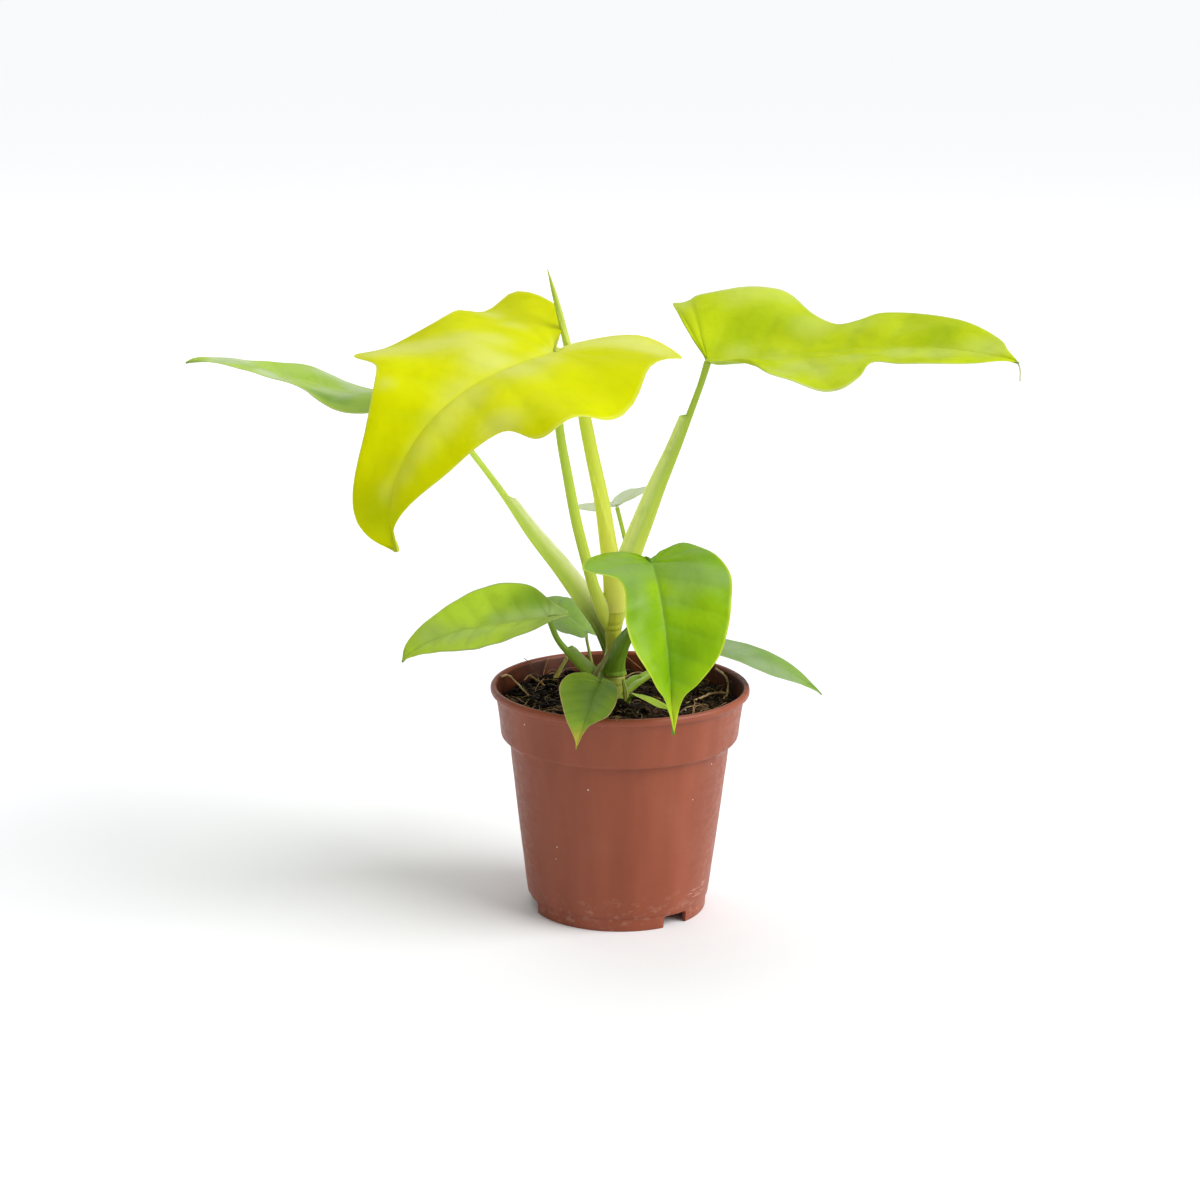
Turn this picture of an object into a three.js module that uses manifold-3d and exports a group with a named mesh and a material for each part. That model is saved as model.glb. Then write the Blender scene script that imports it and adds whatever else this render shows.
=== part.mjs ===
// Golden violin philodendron in a plastic nursery pot. Millimetres, +Z up, the pot's foot on Z = 0.
// Shapes are laid out around the pot's axis with the photograph's viewer on the -Y side, and the
// whole plant is then moved so that the origin is under the middle of its box.
import * as THREE from "three";
import { mergeVertices } from "three/addons/utils/BufferGeometryUtils.js";
import Module from "manifold-3d";

const wasm = await Module();
wasm.setup();

// Driving dimensions

const potAxisFromOrigin = [14, -4];
const gap = 0.3;
const rimHeight = 106.6;
const rimRadius = 60;
const lipDrop = 3.2;
const collarTopRadius = 57.6;
const collarBottomRadius = 54.7;
const collarBottomZ = 82.6;
const shoulderRadius = 50.8;
const shoulderEndZ = 75.5;
const ledgeTopZ = 81.7;
const sideSlopeZ = 79;
const ledgeHalfAngle = 57;
const ledgeFade = 3;
const bodyBottomRadius = 42.2;
const footRadius = 41.2;
const footHeight = 6.5;
const wall = 1.2;
const footWall = 2;
const floorThickness = 1.6;
const notches = [[-50, 13.4], [70, 18.4], [189, 24]]; // angle of the middle, width
const notchHeight = 6;
const drainRadius = 3.5;
const drainCircle = 22;
const drainCount = 6;
const drainSides = 12;
const cutOver = 3;
const potSegments = 40;
const soilSegments = 28;
const soilClearance = 0.9;
const soilZ = 98;
const soilBump = 1.3;
const bladeThickness = 0.55;
const marginThickness = 0.35;
const keelDepth = 0.9;
const veinSlant = 0.35;
const petioleStop = 1.6;
const lobeReach = 0.5;
const mergeTolerance = 1e-3;

// Leaf blades. Each has its junction with the petiole, its length and half width, the heading of its
// midrib (degrees about +Z from +X, with the turn it takes on the way to the tip), the pitch of the
// midrib at its base, middle and tip, the pitch added along the basal lobes, the roll about the
// midrib, and for each half the fold and curl across it (degrees, with their change to the tip), the
// wave of the margin (height, waves in the length, phase) and the flat outline (along, out) in mm.

const leaves = {
  leaf_golden_front: {
    at: [-31, -5, 262], length: 144, halfWidth: 55, heading: [235, -30], pitch: [-3, -32, -111],
    lobePitch: -37, roll: [-7, -30], colour: 0xd3dc1c, stations: [8, 17], rows: [0, 0.14, 0.45, 0.74, 1],
    left: { fold: [6, 16], curl: [-17, 0], wave: [-7, 2, -16],
      outline: [
        [0, 0], [-22, 3], [-37, 23], [-32, 47], [-7, 47], [18, 56], [64, 54], [73, 35], [106, 23],
        [131, 4], [144, 0],
      ] },
    right: { fold: [16, -6], curl: [-25, -21], wave: [5, 1.8, 54],
      outline: [
        [0, 0], [-11, 7], [-34, 22], [-38, 50], [-9, 54], [21, 52], [67, 63], [73, 41], [98, 23],
        [130, 17], [144, 0],
      ] },
  },
  leaf_golden_right: {
    at: [38, 10, 256], length: 142, halfWidth: 50, heading: [4, -30], pitch: [1, 6, -13],
    lobePitch: -25, roll: [12, -2], colour: 0xbfd42c, stations: [8, 20], rows: [0, 0.14, 0.45, 0.74, 1],
    left: { fold: [22, -2], curl: [-19, 3], wave: [7, 1.3, 35],
      outline: [
        [0, 0], [-3.2, 7.5], [-6, 15.6], [-8.4, 23.4], [-11, 33.5], [-13.5, 50], [-9, 48],
        [-4.5, 47], [-0.5, 49], [10, 49], [29, 51], [39.5, 50], [48, 33], [56, 24], [62, 22.5], [69, 27],
        [75, 34], [82, 34], [92, 29], [113, 20], [129, 12], [135, 5.5], [142, 0],
      ] },
    right: { fold: [17, -16], curl: [-4, -9], wave: [5, 1.4, 75],
      outline: [
        [0, 0], [-1.5, 3], [0, 6], [5, 9.5], [13.5, 18], [20, 31], [26, 45], [37, 48], [50, 51.5],
        [59, 52.5], [67, 50.5], [73.5, 41], [78, 26], [92, 30], [105, 29], [116, 23], [128, 12.5],
        [135, 5], [142, 0],
      ] },
  },
  leaf_green_left: {
    at: [-92, 45, 238], length: 114, halfWidth: 32, heading: [182, 3], pitch: [-26, 17, -10],
    lobePitch: 0, roll: [2, -7], colour: 0x7aa83c, stations: [7, 14], rows: [0, 0.16, 0.6, 1],
    left: { fold: [6, -2], curl: [-16, 0], wave: [3, 1.7, 108],
      outline: [
        [0, 0], [-12, 3], [-28, 13], [-30, 26], [-8, 33], [19, 30], [49, 32], [59, 22], [83, 14],
        [107, 2], [114, 0],
      ] },
    right: { fold: [3, 11], curl: [-18, 5], wave: [2, 1.6, 142],
      outline: [
        [0, 0], [-12, 3], [-28, 13], [-30, 26], [-8, 33], [18, 31], [50, 31], [61, 24], [85, 6],
        [108, 3], [114, 0],
      ] },
  },
  leaf_heart_front: {
    at: [13, -34, 172.5], length: 84, halfWidth: 30, heading: [280, 13], pitch: [-14, -66, -76],
    lobePitch: 0, roll: [2, -3], colour: 0x7db00c, stations: [6, 14], rows: [0, 0.16, 0.6, 1],
    left: { fold: [11, 6], curl: [-10, 6], wave: [0, 1.5, 0],
      outline: [[0, 0], [-9, 7], [-11, 20], [11, 32], [28, 31], [49, 24], [62, 13], [69, 5], [84, 0]] },
    right: { fold: [9, 37], curl: [-3, 19], wave: [0, 1.5, 0],
      outline: [[0, 0], [-8, 7], [-9, 19], [12, 32], [16, 18], [42, 23], [61, 13], [70, 5], [84, 0]] },
  },
  leaf_green_low_left: {
    at: [-33, -8, 140], length: 73, halfWidth: 24, heading: [179, -4], pitch: [-11, -13, -49],
    lobePitch: 1, roll: [0, -20], colour: 0x86ac3c, stations: [5, 12], rows: [0, 0.16, 0.6, 1],
    left: { fold: [12, -17], curl: [-12, -11], wave: [0, 1.5, 0],
      outline: [[0, 0], [-9, 7], [-8, 16], [9, 24], [31, 23], [53, 12], [68, 3], [73, 0]] },
    right: { fold: [12, 14], curl: [15, 6], wave: [1, 1.4, -40],
      outline: [[0, 0], [-9, 2], [-2, 14], [8, 25], [32, 23], [52, 13], [67, 6], [73, 0]] },
  },
  leaf_small_back_left: {
    at: [-16, 28, 124], length: 37, halfWidth: 17, heading: [145, -14], pitch: [32, 13, -21],
    lobePitch: -1, roll: [7, -42], colour: 0x7d9f5a, stations: [4, 8], rows: [0, 0.45, 1],
    left: { fold: [7, -27], curl: [-9, 5], wave: [0, 1.5, 0],
      outline: [[0, 0], [-4, 5], [-3, 13], [4, 16], [15, 10], [27, 7], [33, 3], [37, 0]] },
    right: { fold: [-3, 14], curl: [-40, 2], wave: [-1, 1.5, -17],
      outline: [[0, 0], [-3, 5], [0, 12], [6, 16], [17, 15], [27, 9], [33, 4], [37, 0]] },
  },
  leaf_small_rim: {
    at: [-9.2, -47.3, 120.3], length: 33.5, halfWidth: 15, heading: [240, 3], pitch: [-38, -50, -56],
    lobePitch: 10, roll: [0, 0], colour: 0x6f9140, stations: [5, 10], rows: [0, 0.45, 1],
    left: { fold: [8, 0], curl: [-10, 0], wave: [0, 1.5, 0],
      outline: [
        [0, 0], [-2, 1], [-1.2, 5], [1.2, 9], [4.6, 11.6], [9, 12.5], [13.5, 12.1], [17.4, 10.1],
        [22.1, 3.6], [27, 1.3], [33.5, 0],
      ] },
    right: { fold: [26, -6], curl: [-8, 0], wave: [0, 1.5, 0],
      outline: [
        [0, 0], [-2, 4], [-1.2, 9.5], [2.8, 15], [8.8, 16], [16, 11.8], [22, 7.8], [26.5, 4],
        [30.5, 1.1], [33.5, 0],
      ] },
  },
  leaf_low_right: {
    at: [35, 22, 120.5], length: 67, halfWidth: 15, heading: [-25, 1], pitch: [-2, -13, -35],
    lobePitch: 0, roll: [-1, 5], colour: 0x86ab54, stations: [5, 11], rows: [0, 0.45, 1],
    left: { fold: [6, 2], curl: [-13, 2], wave: [0, 1.5, 0],
      outline: [[0, 0], [-8, 5], [-8, 10], [8, 15], [26, 13], [45, 8], [58, 3], [67, 0]] },
    right: { fold: [7, -8], curl: [-9, -2], wave: [1, 1.4, -40],
      outline: [[0, 0], [-8, 5], [-8, 11], [8, 15], [26, 12], [45, 10], [58, 4], [67, 0]] },
  },
  leaf_rear: {
    at: [-2, 50, 180], length: 48, halfWidth: 18, heading: [94, -2], pitch: [-3, -12, -6],
    lobePitch: -1, roll: [-11, -4], colour: 0x9ab877, stations: [5, 9], rows: [0, 0.45, 1],
    left: { fold: [6, 7], curl: [-3, 18], wave: [0, 1.5, 0],
      outline: [[0, 0], [-6, 6], [-6, 12], [6, 19], [20, 16], [34, 9], [43, 4], [48, 0]] },
    right: { fold: [33, 14], curl: [-40, -20], wave: [1, 1.5, 19],
      outline: [[0, 0], [-6, 3], [-5, 12], [6, 17], [20, 16], [34, 9], [43, 5], [48, 0]] },
  },
  leaf_tiny: {
    at: [9, -24, 108], length: 19, halfWidth: 5, heading: [314, 1], pitch: [-2, -12, -7],
    lobePitch: 2, roll: [-9, 8], colour: 0xa3c428, stations: [3, 6], rows: [0, 1],
    left: { fold: [0, 9], curl: [-16, 3], wave: [0, 1.5, 0],
      outline: [[0, 0], [-2, 2], [-2, 4], [2, 5], [8, 4], [14, 3], [17, 1], [19, 0]] },
    right: { fold: [12, -8], curl: [-14, -5], wave: [0, 1.5, 0],
      outline: [[0, 0], [-2, 2], [-2, 4], [2, 5], [8, 4], [14, 3], [17, 1], [19, 0]] },
  },
};

// Stalks: the points of the centre line up to the leaf junction, and the half width and half depth
// of the section along it. Wide values near the base are the sheath that wraps the shoot above.

const stalks = {
  main_stem: {
    colour: 0xb4c238, sides: 12, steps: 9,
    path: [
      [-3.2, 3, 96], [-3.2, 3, 104], [-3.2, 3.6, 112], [-3, 4.6, 122], [-3.6, 5, 131], [-4, 5, 138],
      [-4, 5, 143],
    ],
    size: [[4.6, 4.6], [5.2, 5.2], [5.6, 5.6], [4, 4], [4.1, 4.1], [4.4, 4.4], [4, 4]],
  },
  sheath_new_leaf: {
    colour: 0xd2d860, sides: 10, steps: 12,
    path: [
      [-4, 5, 143.4], [-5, 5, 155], [-8, 6, 173], [-10, 7, 192], [-14, 9, 212], [-17, 10, 228],
      [-20, 12, 242],
    ],
    size: [[4, 4], [4.1, 4.1], [3.5, 3.5], [3.2, 3.1], [2.9, 2.8], [2.7, 2.6], [2.3, 2.2]],
  },
  petiole_golden_front: {
    colour: 0xb6cf52, sides: 8, steps: 14, leaf: "leaf_golden_front",
    path: [
      [-8.5, 2, 138], [-11, 2.5, 148], [-16, 2, 165], [-21, 0, 184], [-25, -2, 205], [-29, -3, 221],
      [-30, -4, 240], [-31, -5, 251],
    ],
    size: [
      [2.6, 2.6], [2.7, 2.6], [2.6, 2.4], [2.4, 2.2], [2.1, 2], [2, 1.9], [1.9, 1.8], [1.8, 1.7],
      [1.7, 1.6],
    ],
  },
  petiole_golden_right: {
    colour: 0xb9cf55, sides: 8, steps: 14, leaf: "leaf_golden_right",
    path: [
      [-1, 5.5, 137], [1, 7, 152], [5, 8, 165], [11, 9, 180], [17, 10, 198], [24, 10, 215],
      [30, 10, 232], [35, 10, 245],
    ],
    size: [
      [3.2, 3], [4.4, 3.2], [4.6, 3.2], [4.4, 3], [4, 2.6], [3.3, 2.3], [1.9, 1.8], [1.5, 1.5],
      [1.4, 1.4],
    ],
  },
  petiole_green_left: {
    colour: 0xa9c653, sides: 8, steps: 15, leaf: "leaf_green_left",
    path: [
      [-6, 7, 122], [-11, 8, 134], [-20, 10, 145], [-30, 14, 158], [-42, 20, 172], [-54, 27, 188],
      [-62, 32, 198], [-71, 36, 209], [-82, 41, 224],
    ],
    size: [
      [3.2, 2.6], [4, 3], [4.2, 3], [4, 2.8], [3.2, 2.4], [1.9, 1.7], [1.5, 1.5], [1.5, 1.5],
      [1.4, 1.4], [1.4, 1.4],
    ],
  },
  petiole_heart_front: {
    colour: 0x6f9c2e, sides: 8, steps: 11, leaf: "leaf_heart_front",
    path: [
      [-2.6, 0, 111], [-2.6, -1.2, 114], [-1.6, -2.6, 119], [0.6, -4.8, 125], [3.8, -8.5, 132.5],
      [8, -18, 145], [11, -27, 158],
    ],
    size: [
      [4.8, 4.9], [4.7, 4.7], [4.2, 4], [3.8, 3.2], [3, 2.4], [1.8, 1.8], [1.5, 1.5], [1.4, 1.4],
    ],
  },
  petiole_rear: {
    colour: 0x9fbf4a, sides: 6, steps: 9, leaf: "leaf_rear",
    path: [[-1, 8, 132], [2, 14, 140], [3, 26, 154], [2, 36, 164], [0, 46, 174]],
    size: [[1.4, 1.4], [1.4, 1.4], [1.2, 1.2], [1.1, 1.1], [1, 1], [1, 1]],
  },
  petiole_low_left: {
    colour: 0x8fb13c, sides: 8, steps: 9, leaf: "leaf_green_low_left",
    path: [[-8, 1, 105], [-17, -1, 114], [-23, -3, 121], [-29, -5, 128], [-32, -7, 135]],
    size: [[2.6, 2.4], [2.9, 2.2], [2.3, 2], [1.8, 1.7], [1.5, 1.5], [1.5, 1.5]],
  },
  petiole_small_rim: {
    colour: 0x8fae46, sides: 6, steps: 7, leaf: "leaf_small_rim", stop: 1.2,
    path: [[-3, -3, 102.5], [-5.4, -12, 105.4], [-7.2, -24, 108.6], [-8.5, -37, 113]],
    size: [[1.4, 1.4], [1.15, 1.15], [1, 1], [0.9, 0.9], [0.9, 0.9]],
  },
  petiole_low_right: {
    colour: 0x8db044, sides: 8, steps: 8, leaf: "leaf_low_right", stop: 2.8,
    path: [[2, 3, 102], [8, 6, 106], [14, 9.5, 109], [21, 14.5, 112.5], [28.5, 20, 116]],
    size: [[2.2, 2], [2.1, 2], [1.8, 1.7], [1.4, 1.4], [1.2, 1.2], [1.1, 1.1]],
  },
  petiole_small_back_left: {
    colour: 0x93a866, sides: 6, steps: 6, leaf: "leaf_small_back_left",
    path: [[-11, 9, 95], [-12, 14, 105], [-14, 20, 114], [-16, 26, 120]],
    size: [[0.9, 0.9], [0.8, 0.8], [0.7, 0.7], [0.7, 0.7], [0.7, 0.7]],
  },
  petiole_tiny: {
    colour: 0x9bb844, sides: 6, steps: 4, leaf: "leaf_tiny",
    path: [[3, -10, 96], [4, -13, 103], [6, -18, 106]],
    size: [[0.8, 0.8], [0.8, 0.8], [0.7, 0.7], [0.7, 0.7]],
  },
  small_shoot: {
    colour: 0x9a9a48, sides: 6, steps: 4,
    path: [[3, -7, 95], [2.9, -6.6, 100], [2.4, -6, 105], [1.2, -5.6, 110]],
    size: [[1.4, 1.4], [1.3, 1.3], [1.15, 1.15], [0.7, 0.7]],
  },
  petiole_stub: {
    colour: 0xb9a24e, sides: 6, steps: 4,
    path: [[-32, 37.5, 95], [-30, 38, 99.4], [-28, 38.5, 103], [-25, 39, 108.4]],
    size: [[1.6, 1.6], [1.15, 1.15], [0.95, 0.95], [0.85, 0.85]],
  },
  dry_sheath_left: {
    colour: 0x8d8a4a, sides: 6, steps: 4,
    path: [[-10.8, 4.5, 96], [-11.4, 4.7, 102], [-12.6, 5, 107], [-15.5, 5, 114.5], [-21, 4, 122.6]],
    size: [[2, 0.6], [2, 0.6], [1.8, 0.6], [1.2, 0.5], [0.4, 0.4]],
  },
  dry_sheath_right: {
    colour: 0xb3b870, sides: 6, steps: 4,
    path: [[-11.8, -5, 96], [-11.4, -4.6, 104], [-11, -4.6, 111], [-7.6, -4.8, 118], [-3.4, -5.4, 125.4]],
    size: [[1.6, 0.6], [1.6, 0.6], [1.5, 0.6], [1, 0.5], [0.4, 0.4]],
  },
};

const spearPath = [
  [-20.3, 12.1, 242.8], [-23.5, 13.5, 253], [-26, 15, 263], [-29, 17, 275], [-32, 18, 286],
  [-35, 18, 296],
];
const spearSize = [[2.3, 2.1], [2.1, 2], [1.8, 1.7], [1.5, 1.4], [1, 1], [0.35, 0.35]];

const rootRadius = 0.6;
const roots = {
  root_left: [[-53.3, 10, 105.4], [-51.5, 13, 104.6], [-48.6, 15.6, 102], [-44.8, 9.5, 100.6], [-42, 4.8, 98.8]],
  root_right_arc: [[44, 30, 104], [47, 25, 104], [49, 20, 103], [49.6, 8, 100.6], [45.5, -4, 99]],
  root_right_long: [[49, 11.4, 100], [46, 10, 100], [42.2, 8.4, 99.9], [37.7, 3, 99.8], [33.4, -1, 99]],
  root_back_left: [[-42, 30, 101], [-39, 26, 100], [-36, 22, 99.2], [-32, 18, 98.8]],
  root_behind: [[22, 40, 99], [16, 36, 101], [10, 31, 100.6], [5, 26, 98.8]],
};

// Curves, solids and booleans

const radians = THREE.MathUtils.degToRad;

function curve(points) {
  const list = points.map((p) => new THREE.Vector3(p[0], p[1], p[2] ?? 0));
  return new THREE.CatmullRomCurve3(list, false, "catmullrom", 0.5);
}

function geometryFrom(points, triangles) {
  const geometry = new THREE.BufferGeometry();
  const numbers = points.flatMap((p) => [p.x, p.y, p.z]);
  geometry.setAttribute("position", new THREE.Float32BufferAttribute(numbers, 3));
  geometry.setIndex(triangles.flat());
  return geometry;
}

function solid(geometry) {
  const bare = geometry.clone();
  bare.deleteAttribute("normal");
  bare.deleteAttribute("uv");
  const merged = mergeVertices(bare, mergeTolerance);
  const mesh = new wasm.Mesh({
    numProp: 3,
    vertProperties: new Float32Array(merged.attributes.position.array),
    triVerts: new Uint32Array(merged.index.array),
  });
  return new wasm.Manifold(mesh);
}

function geometryOf(manifold) {
  const mesh = manifold.getMesh();
  const geometry = new THREE.BufferGeometry();
  geometry.setAttribute("position", new THREE.Float32BufferAttribute(mesh.vertProperties, 3));
  geometry.setIndex(Array.from(mesh.triVerts));
  return geometry;
}

// What is left of a body once its neighbours are cut from it: the largest piece.
function cutBy(body, cutters) {
  let left = body;
  for (const cutter of cutters) {
    left = left.subtract(cutter);
  }
  const pieces = left.decompose();
  return pieces.reduce((best, piece) => (piece.volume() > best.volume() ? piece : best));
}

// Stalks

// A petiole stops just under the junction of its leaf.
function centreLine({ path, leaf, stop = petioleStop }) {
  if (!leaf) {
    return curve(path);
  }
  const last = new THREE.Vector3(...path.at(-1));
  const junction = new THREE.Vector3(...leaves[leaf].at);
  const away = last.sub(junction).setLength(stop);
  return curve([...path, junction.add(away).toArray()]);
}

function stalkGeometry(stalk, grow = 0) {
  const { size, sides, steps } = stalk;
  const centre = centreLine(stalk);
  const section = curve(size);
  const points = [];
  const triangles = [];
  const across = new THREE.Vector3(1, 0, 0);
  for (let i = 0; i <= steps; i++) {
    const t = i / steps;
    const middle = centre.getPoint(t);
    const along = centre.getTangent(t).normalize();
    const wide = across.clone().addScaledVector(along, -across.dot(along)).normalize();
    const deep = new THREE.Vector3().crossVectors(along, wide);
    if (i === 0) {
      middle.addScaledVector(along, -grow);
    }
    if (i === steps) {
      middle.addScaledVector(along, grow);
    }
    const half = section.getPoint(t);
    for (let j = 0; j < sides; j++) {
      const turn = (2 * Math.PI * j) / sides;
      const point = middle.clone();
      point.addScaledVector(wide, (half.x + grow) * Math.cos(turn));
      point.addScaledVector(deep, (half.y + grow) * Math.sin(turn));
      points.push(point);
    }
  }
  for (let i = 0; i < steps; i++) {
    for (let j = 0; j < sides; j++) {
      const a = i * sides + j;
      const b = i * sides + ((j + 1) % sides);
      triangles.push([a, b, b + sides], [a, b + sides, a + sides]);
    }
  }
  const last = steps * sides;
  for (let j = 1; j < sides - 1; j++) {
    triangles.push([0, j + 1, j], [last, last + j, last + j + 1]);
  }
  return geometryFrom(points, triangles);
}

// Leaf blades

// The midrib's place and frame at a share t of the length, where t below zero runs into the lobes.
function midrib(leaf) {
  const steps = 24;
  const direction = (t) => {
    const p = Math.min(Math.max(t, 0), 1);
    const heading = radians(leaf.heading[0] + leaf.heading[1] * p);
    const [base, middle, tip] = leaf.pitch;
    let pitch = base * (1 - p) * (1 - 2 * p) + middle * 4 * p * (1 - p) + tip * p * (2 * p - 1);
    pitch += leaf.lobePitch * 2 * Math.min(Math.max(-t, 0), 1);
    pitch = radians(pitch);
    const level = Math.cos(pitch);
    return {
      along: new THREE.Vector3(level * Math.cos(heading), level * Math.sin(heading), Math.sin(pitch)),
      side: new THREE.Vector3(-Math.sin(heading), Math.cos(heading), 0),
      roll: radians(leaf.roll[0] + leaf.roll[1] * p),
    };
  };
  const forward = [new THREE.Vector3(...leaf.at)];
  const backward = [new THREE.Vector3(...leaf.at)];
  for (let i = 0; i < steps; i++) {
    const ahead = direction((i + 0.5) / steps).along;
    forward.push(forward[i].clone().addScaledVector(ahead, leaf.length / steps));
    const behind = direction((-lobeReach * (i + 0.5)) / steps).along;
    backward.push(backward[i].clone().addScaledVector(behind, (-lobeReach * leaf.length) / steps));
  }
  return (t) => {
    const list = t >= 0 ? forward : backward;
    const x = Math.min((t >= 0 ? t : -t / lobeReach) * steps, steps - 1e-6);
    const i = Math.floor(x);
    const { along, side, roll } = direction(t);
    const up = new THREE.Vector3().crossVectors(along, side);
    const across = side.clone().multiplyScalar(Math.cos(roll)).addScaledVector(up, Math.sin(roll));
    const normal = up.clone().multiplyScalar(Math.cos(roll)).addScaledVector(side, -Math.sin(roll));
    return { place: list[i].clone().lerp(list[i + 1], x - i), across, normal };
  };
}

// A point of the blade: u along the midrib, v out from it, on the left (1) or the right (-1) half.
function bladePoint(leaf, rib, u, v, hand) {
  const half = hand > 0 ? leaf.left : leaf.right;
  const t = Math.min(Math.max(u / leaf.length, -lobeReach), 1);
  const { place, across, normal } = rib(t);
  const fold = radians(half.fold[0] + half.fold[1] * t);
  const curl = radians(half.curl[0] + half.curl[1] * t) / leaf.halfWidth || 1e-6;
  const out = (Math.sin(fold + curl * v) - Math.sin(fold)) / curl;
  const [height, waves, phase] = half.wave;
  const ripple = height * (v / leaf.halfWidth) ** 2 * Math.sin(2 * Math.PI * waves * t + radians(phase));
  const rise = (Math.cos(fold) - Math.cos(fold + curl * v)) / curl + ripple;
  return place.addScaledVector(across, hand * out).addScaledVector(normal, rise);
}

// Where each side vein starts on the midrib and where it meets the margin, lobes first.
function veins(leaf, half, lobeCount, bladeCount) {
  const margin = curve(half.outline);
  const samples = 400;
  const list = [];
  let reach = -Infinity;
  for (let i = 0; i <= samples; i++) {
    const p = margin.getPoint(i / samples);
    reach = Math.max(reach, p.x - veinSlant * p.y);
    list.push({ share: i / samples, reach: i === samples ? leaf.length : reach });
  }
  const start = list.findLast((s) => s.reach <= 0.5).share;
  const lineTo = (from, share) => {
    const along = margin.getTangent(share);
    const outward = new THREE.Vector3(-along.y, along.x, 0).normalize();
    return { from, end: margin.getPoint(share), outward };
  };
  const result = [];
  for (let i = 0; i <= lobeCount; i++) {
    result.push(lineTo(0, (start * i) / lobeCount));
  }
  for (let i = 1; i <= bladeCount; i++) {
    const from = (leaf.length * i) / bladeCount;
    const hit = list.find((s) => s.share > start && s.reach >= from - 1e-6);
    result.push(lineTo(from, i === bladeCount ? 1 : hit.share));
  }
  return result;
}

function bladeGeometry(leaf, grow = 0) {
  const rib = midrib(leaf);
  const rows = leaf.rows;
  const [lobeCount, bladeCount] = leaf.stations;
  const points = [];
  const triangles = [];
  const index = new Map();
  const place = (key, make) => {
    if (!index.has(key)) {
      index.set(key, points.length);
      points.push(make());
    }
    return index.get(key);
  };
  for (const hand of [1, -1]) {
    const half = hand > 0 ? leaf.left : leaf.right;
    const lines = veins(leaf, half, lobeCount, bladeCount);
    const vertex = (i, j, level) => {
      const { from, end, outward } = lines[i];
      const onRib = j === 0 || i === 0 || i === lines.length - 1;
      const ribKey = `${i <= lobeCount ? 0 : from},${i === lines.length - 1},${level}`;
      const key = onRib ? ribKey : `${hand},${i},${j},${level}`;
      return place(key, () => {
        const share = onRib ? 0 : rows[j];
        const atMargin = j === rows.length - 1;
        let u = onRib ? from : from + (end.x - from) * share;
        let v = onRib ? 0 : end.y * share;
        if (onRib) {
          u += u > 0 ? 0 : -grow;
        } else if (atMargin) {
          u += grow * outward.x;
          v += grow * outward.y;
        }
        const middle = bladePoint(leaf, rib, u, v, hand);
        const normal = new THREE.Vector3();
        if (onRib) {
          normal.copy(rib(u / leaf.length).normal);
        } else {
          const ahead = bladePoint(leaf, rib, u + 0.5, v, hand).sub(bladePoint(leaf, rib, u - 0.5, v, hand));
          const out = bladePoint(leaf, rib, u, v + 0.5, hand).sub(bladePoint(leaf, rib, u, v, hand));
          normal.crossVectors(ahead, out).multiplyScalar(hand).normalize();
        }
        let half = (bladeThickness + (marginThickness - bladeThickness) * share) / 2 + grow;
        if (level < 0 && onRib) {
          half += keelDepth * (1 - u / leaf.length) * Math.min(1, leaf.halfWidth / 20);
        }
        return middle.addScaledVector(normal, level * half);
      });
    };
    const face = (a, b, c) => {
      if (a !== b && b !== c && c !== a) {
        triangles.push(hand > 0 ? [a, b, c] : [a, c, b]);
      }
    };
    for (let i = 0; i < lines.length - 1; i++) {
      for (let j = 0; j < rows.length - 1; j++) {
        const top = [vertex(i, j, 1), vertex(i + 1, j, 1), vertex(i + 1, j + 1, 1), vertex(i, j + 1, 1)];
        const under = [vertex(i, j, -1), vertex(i + 1, j, -1), vertex(i + 1, j + 1, -1), vertex(i, j + 1, -1)];
        face(top[0], top[1], top[2]);
        face(top[0], top[2], top[3]);
        face(under[0], under[2], under[1]);
        face(under[0], under[3], under[2]);
      }
      const edge = rows.length - 1;
      const a = vertex(i, edge, 1);
      const b = vertex(i + 1, edge, 1);
      const c = vertex(i + 1, edge, -1);
      const d = vertex(i, edge, -1);
      face(a, b, c);
      face(a, c, d);
    }
  }
  return geometryFrom(points, triangles);
}

// Pot and soil

// A wall of revolution whose closed profile may change round the pot.
function revolve(profileAt, segments) {
  const count = profileAt(0).length;
  const points = [];
  const triangles = [];
  for (let i = 0; i < segments; i++) {
    const turn = (2 * Math.PI * i) / segments;
    for (const [radius, z] of profileAt(turn)) {
      points.push(new THREE.Vector3(radius * Math.cos(turn), radius * Math.sin(turn), z));
    }
  }
  for (let i = 0; i < segments; i++) {
    for (let j = 0; j < count - 1; j++) {
      const a = i * count + j;
      const b = ((i + 1) % segments) * count + j;
      triangles.push([a, b, b + 1], [a, b + 1, a + 1]);
    }
  }
  return geometryFrom(points, triangles);
}

const floorZ = footHeight + floorThickness;

function innerRadius(z) {
  const share = (z - footHeight) / (shoulderEndZ - footHeight);
  return bodyBottomRadius + (shoulderRadius - bodyBottomRadius) * share - wall;
}

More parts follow.
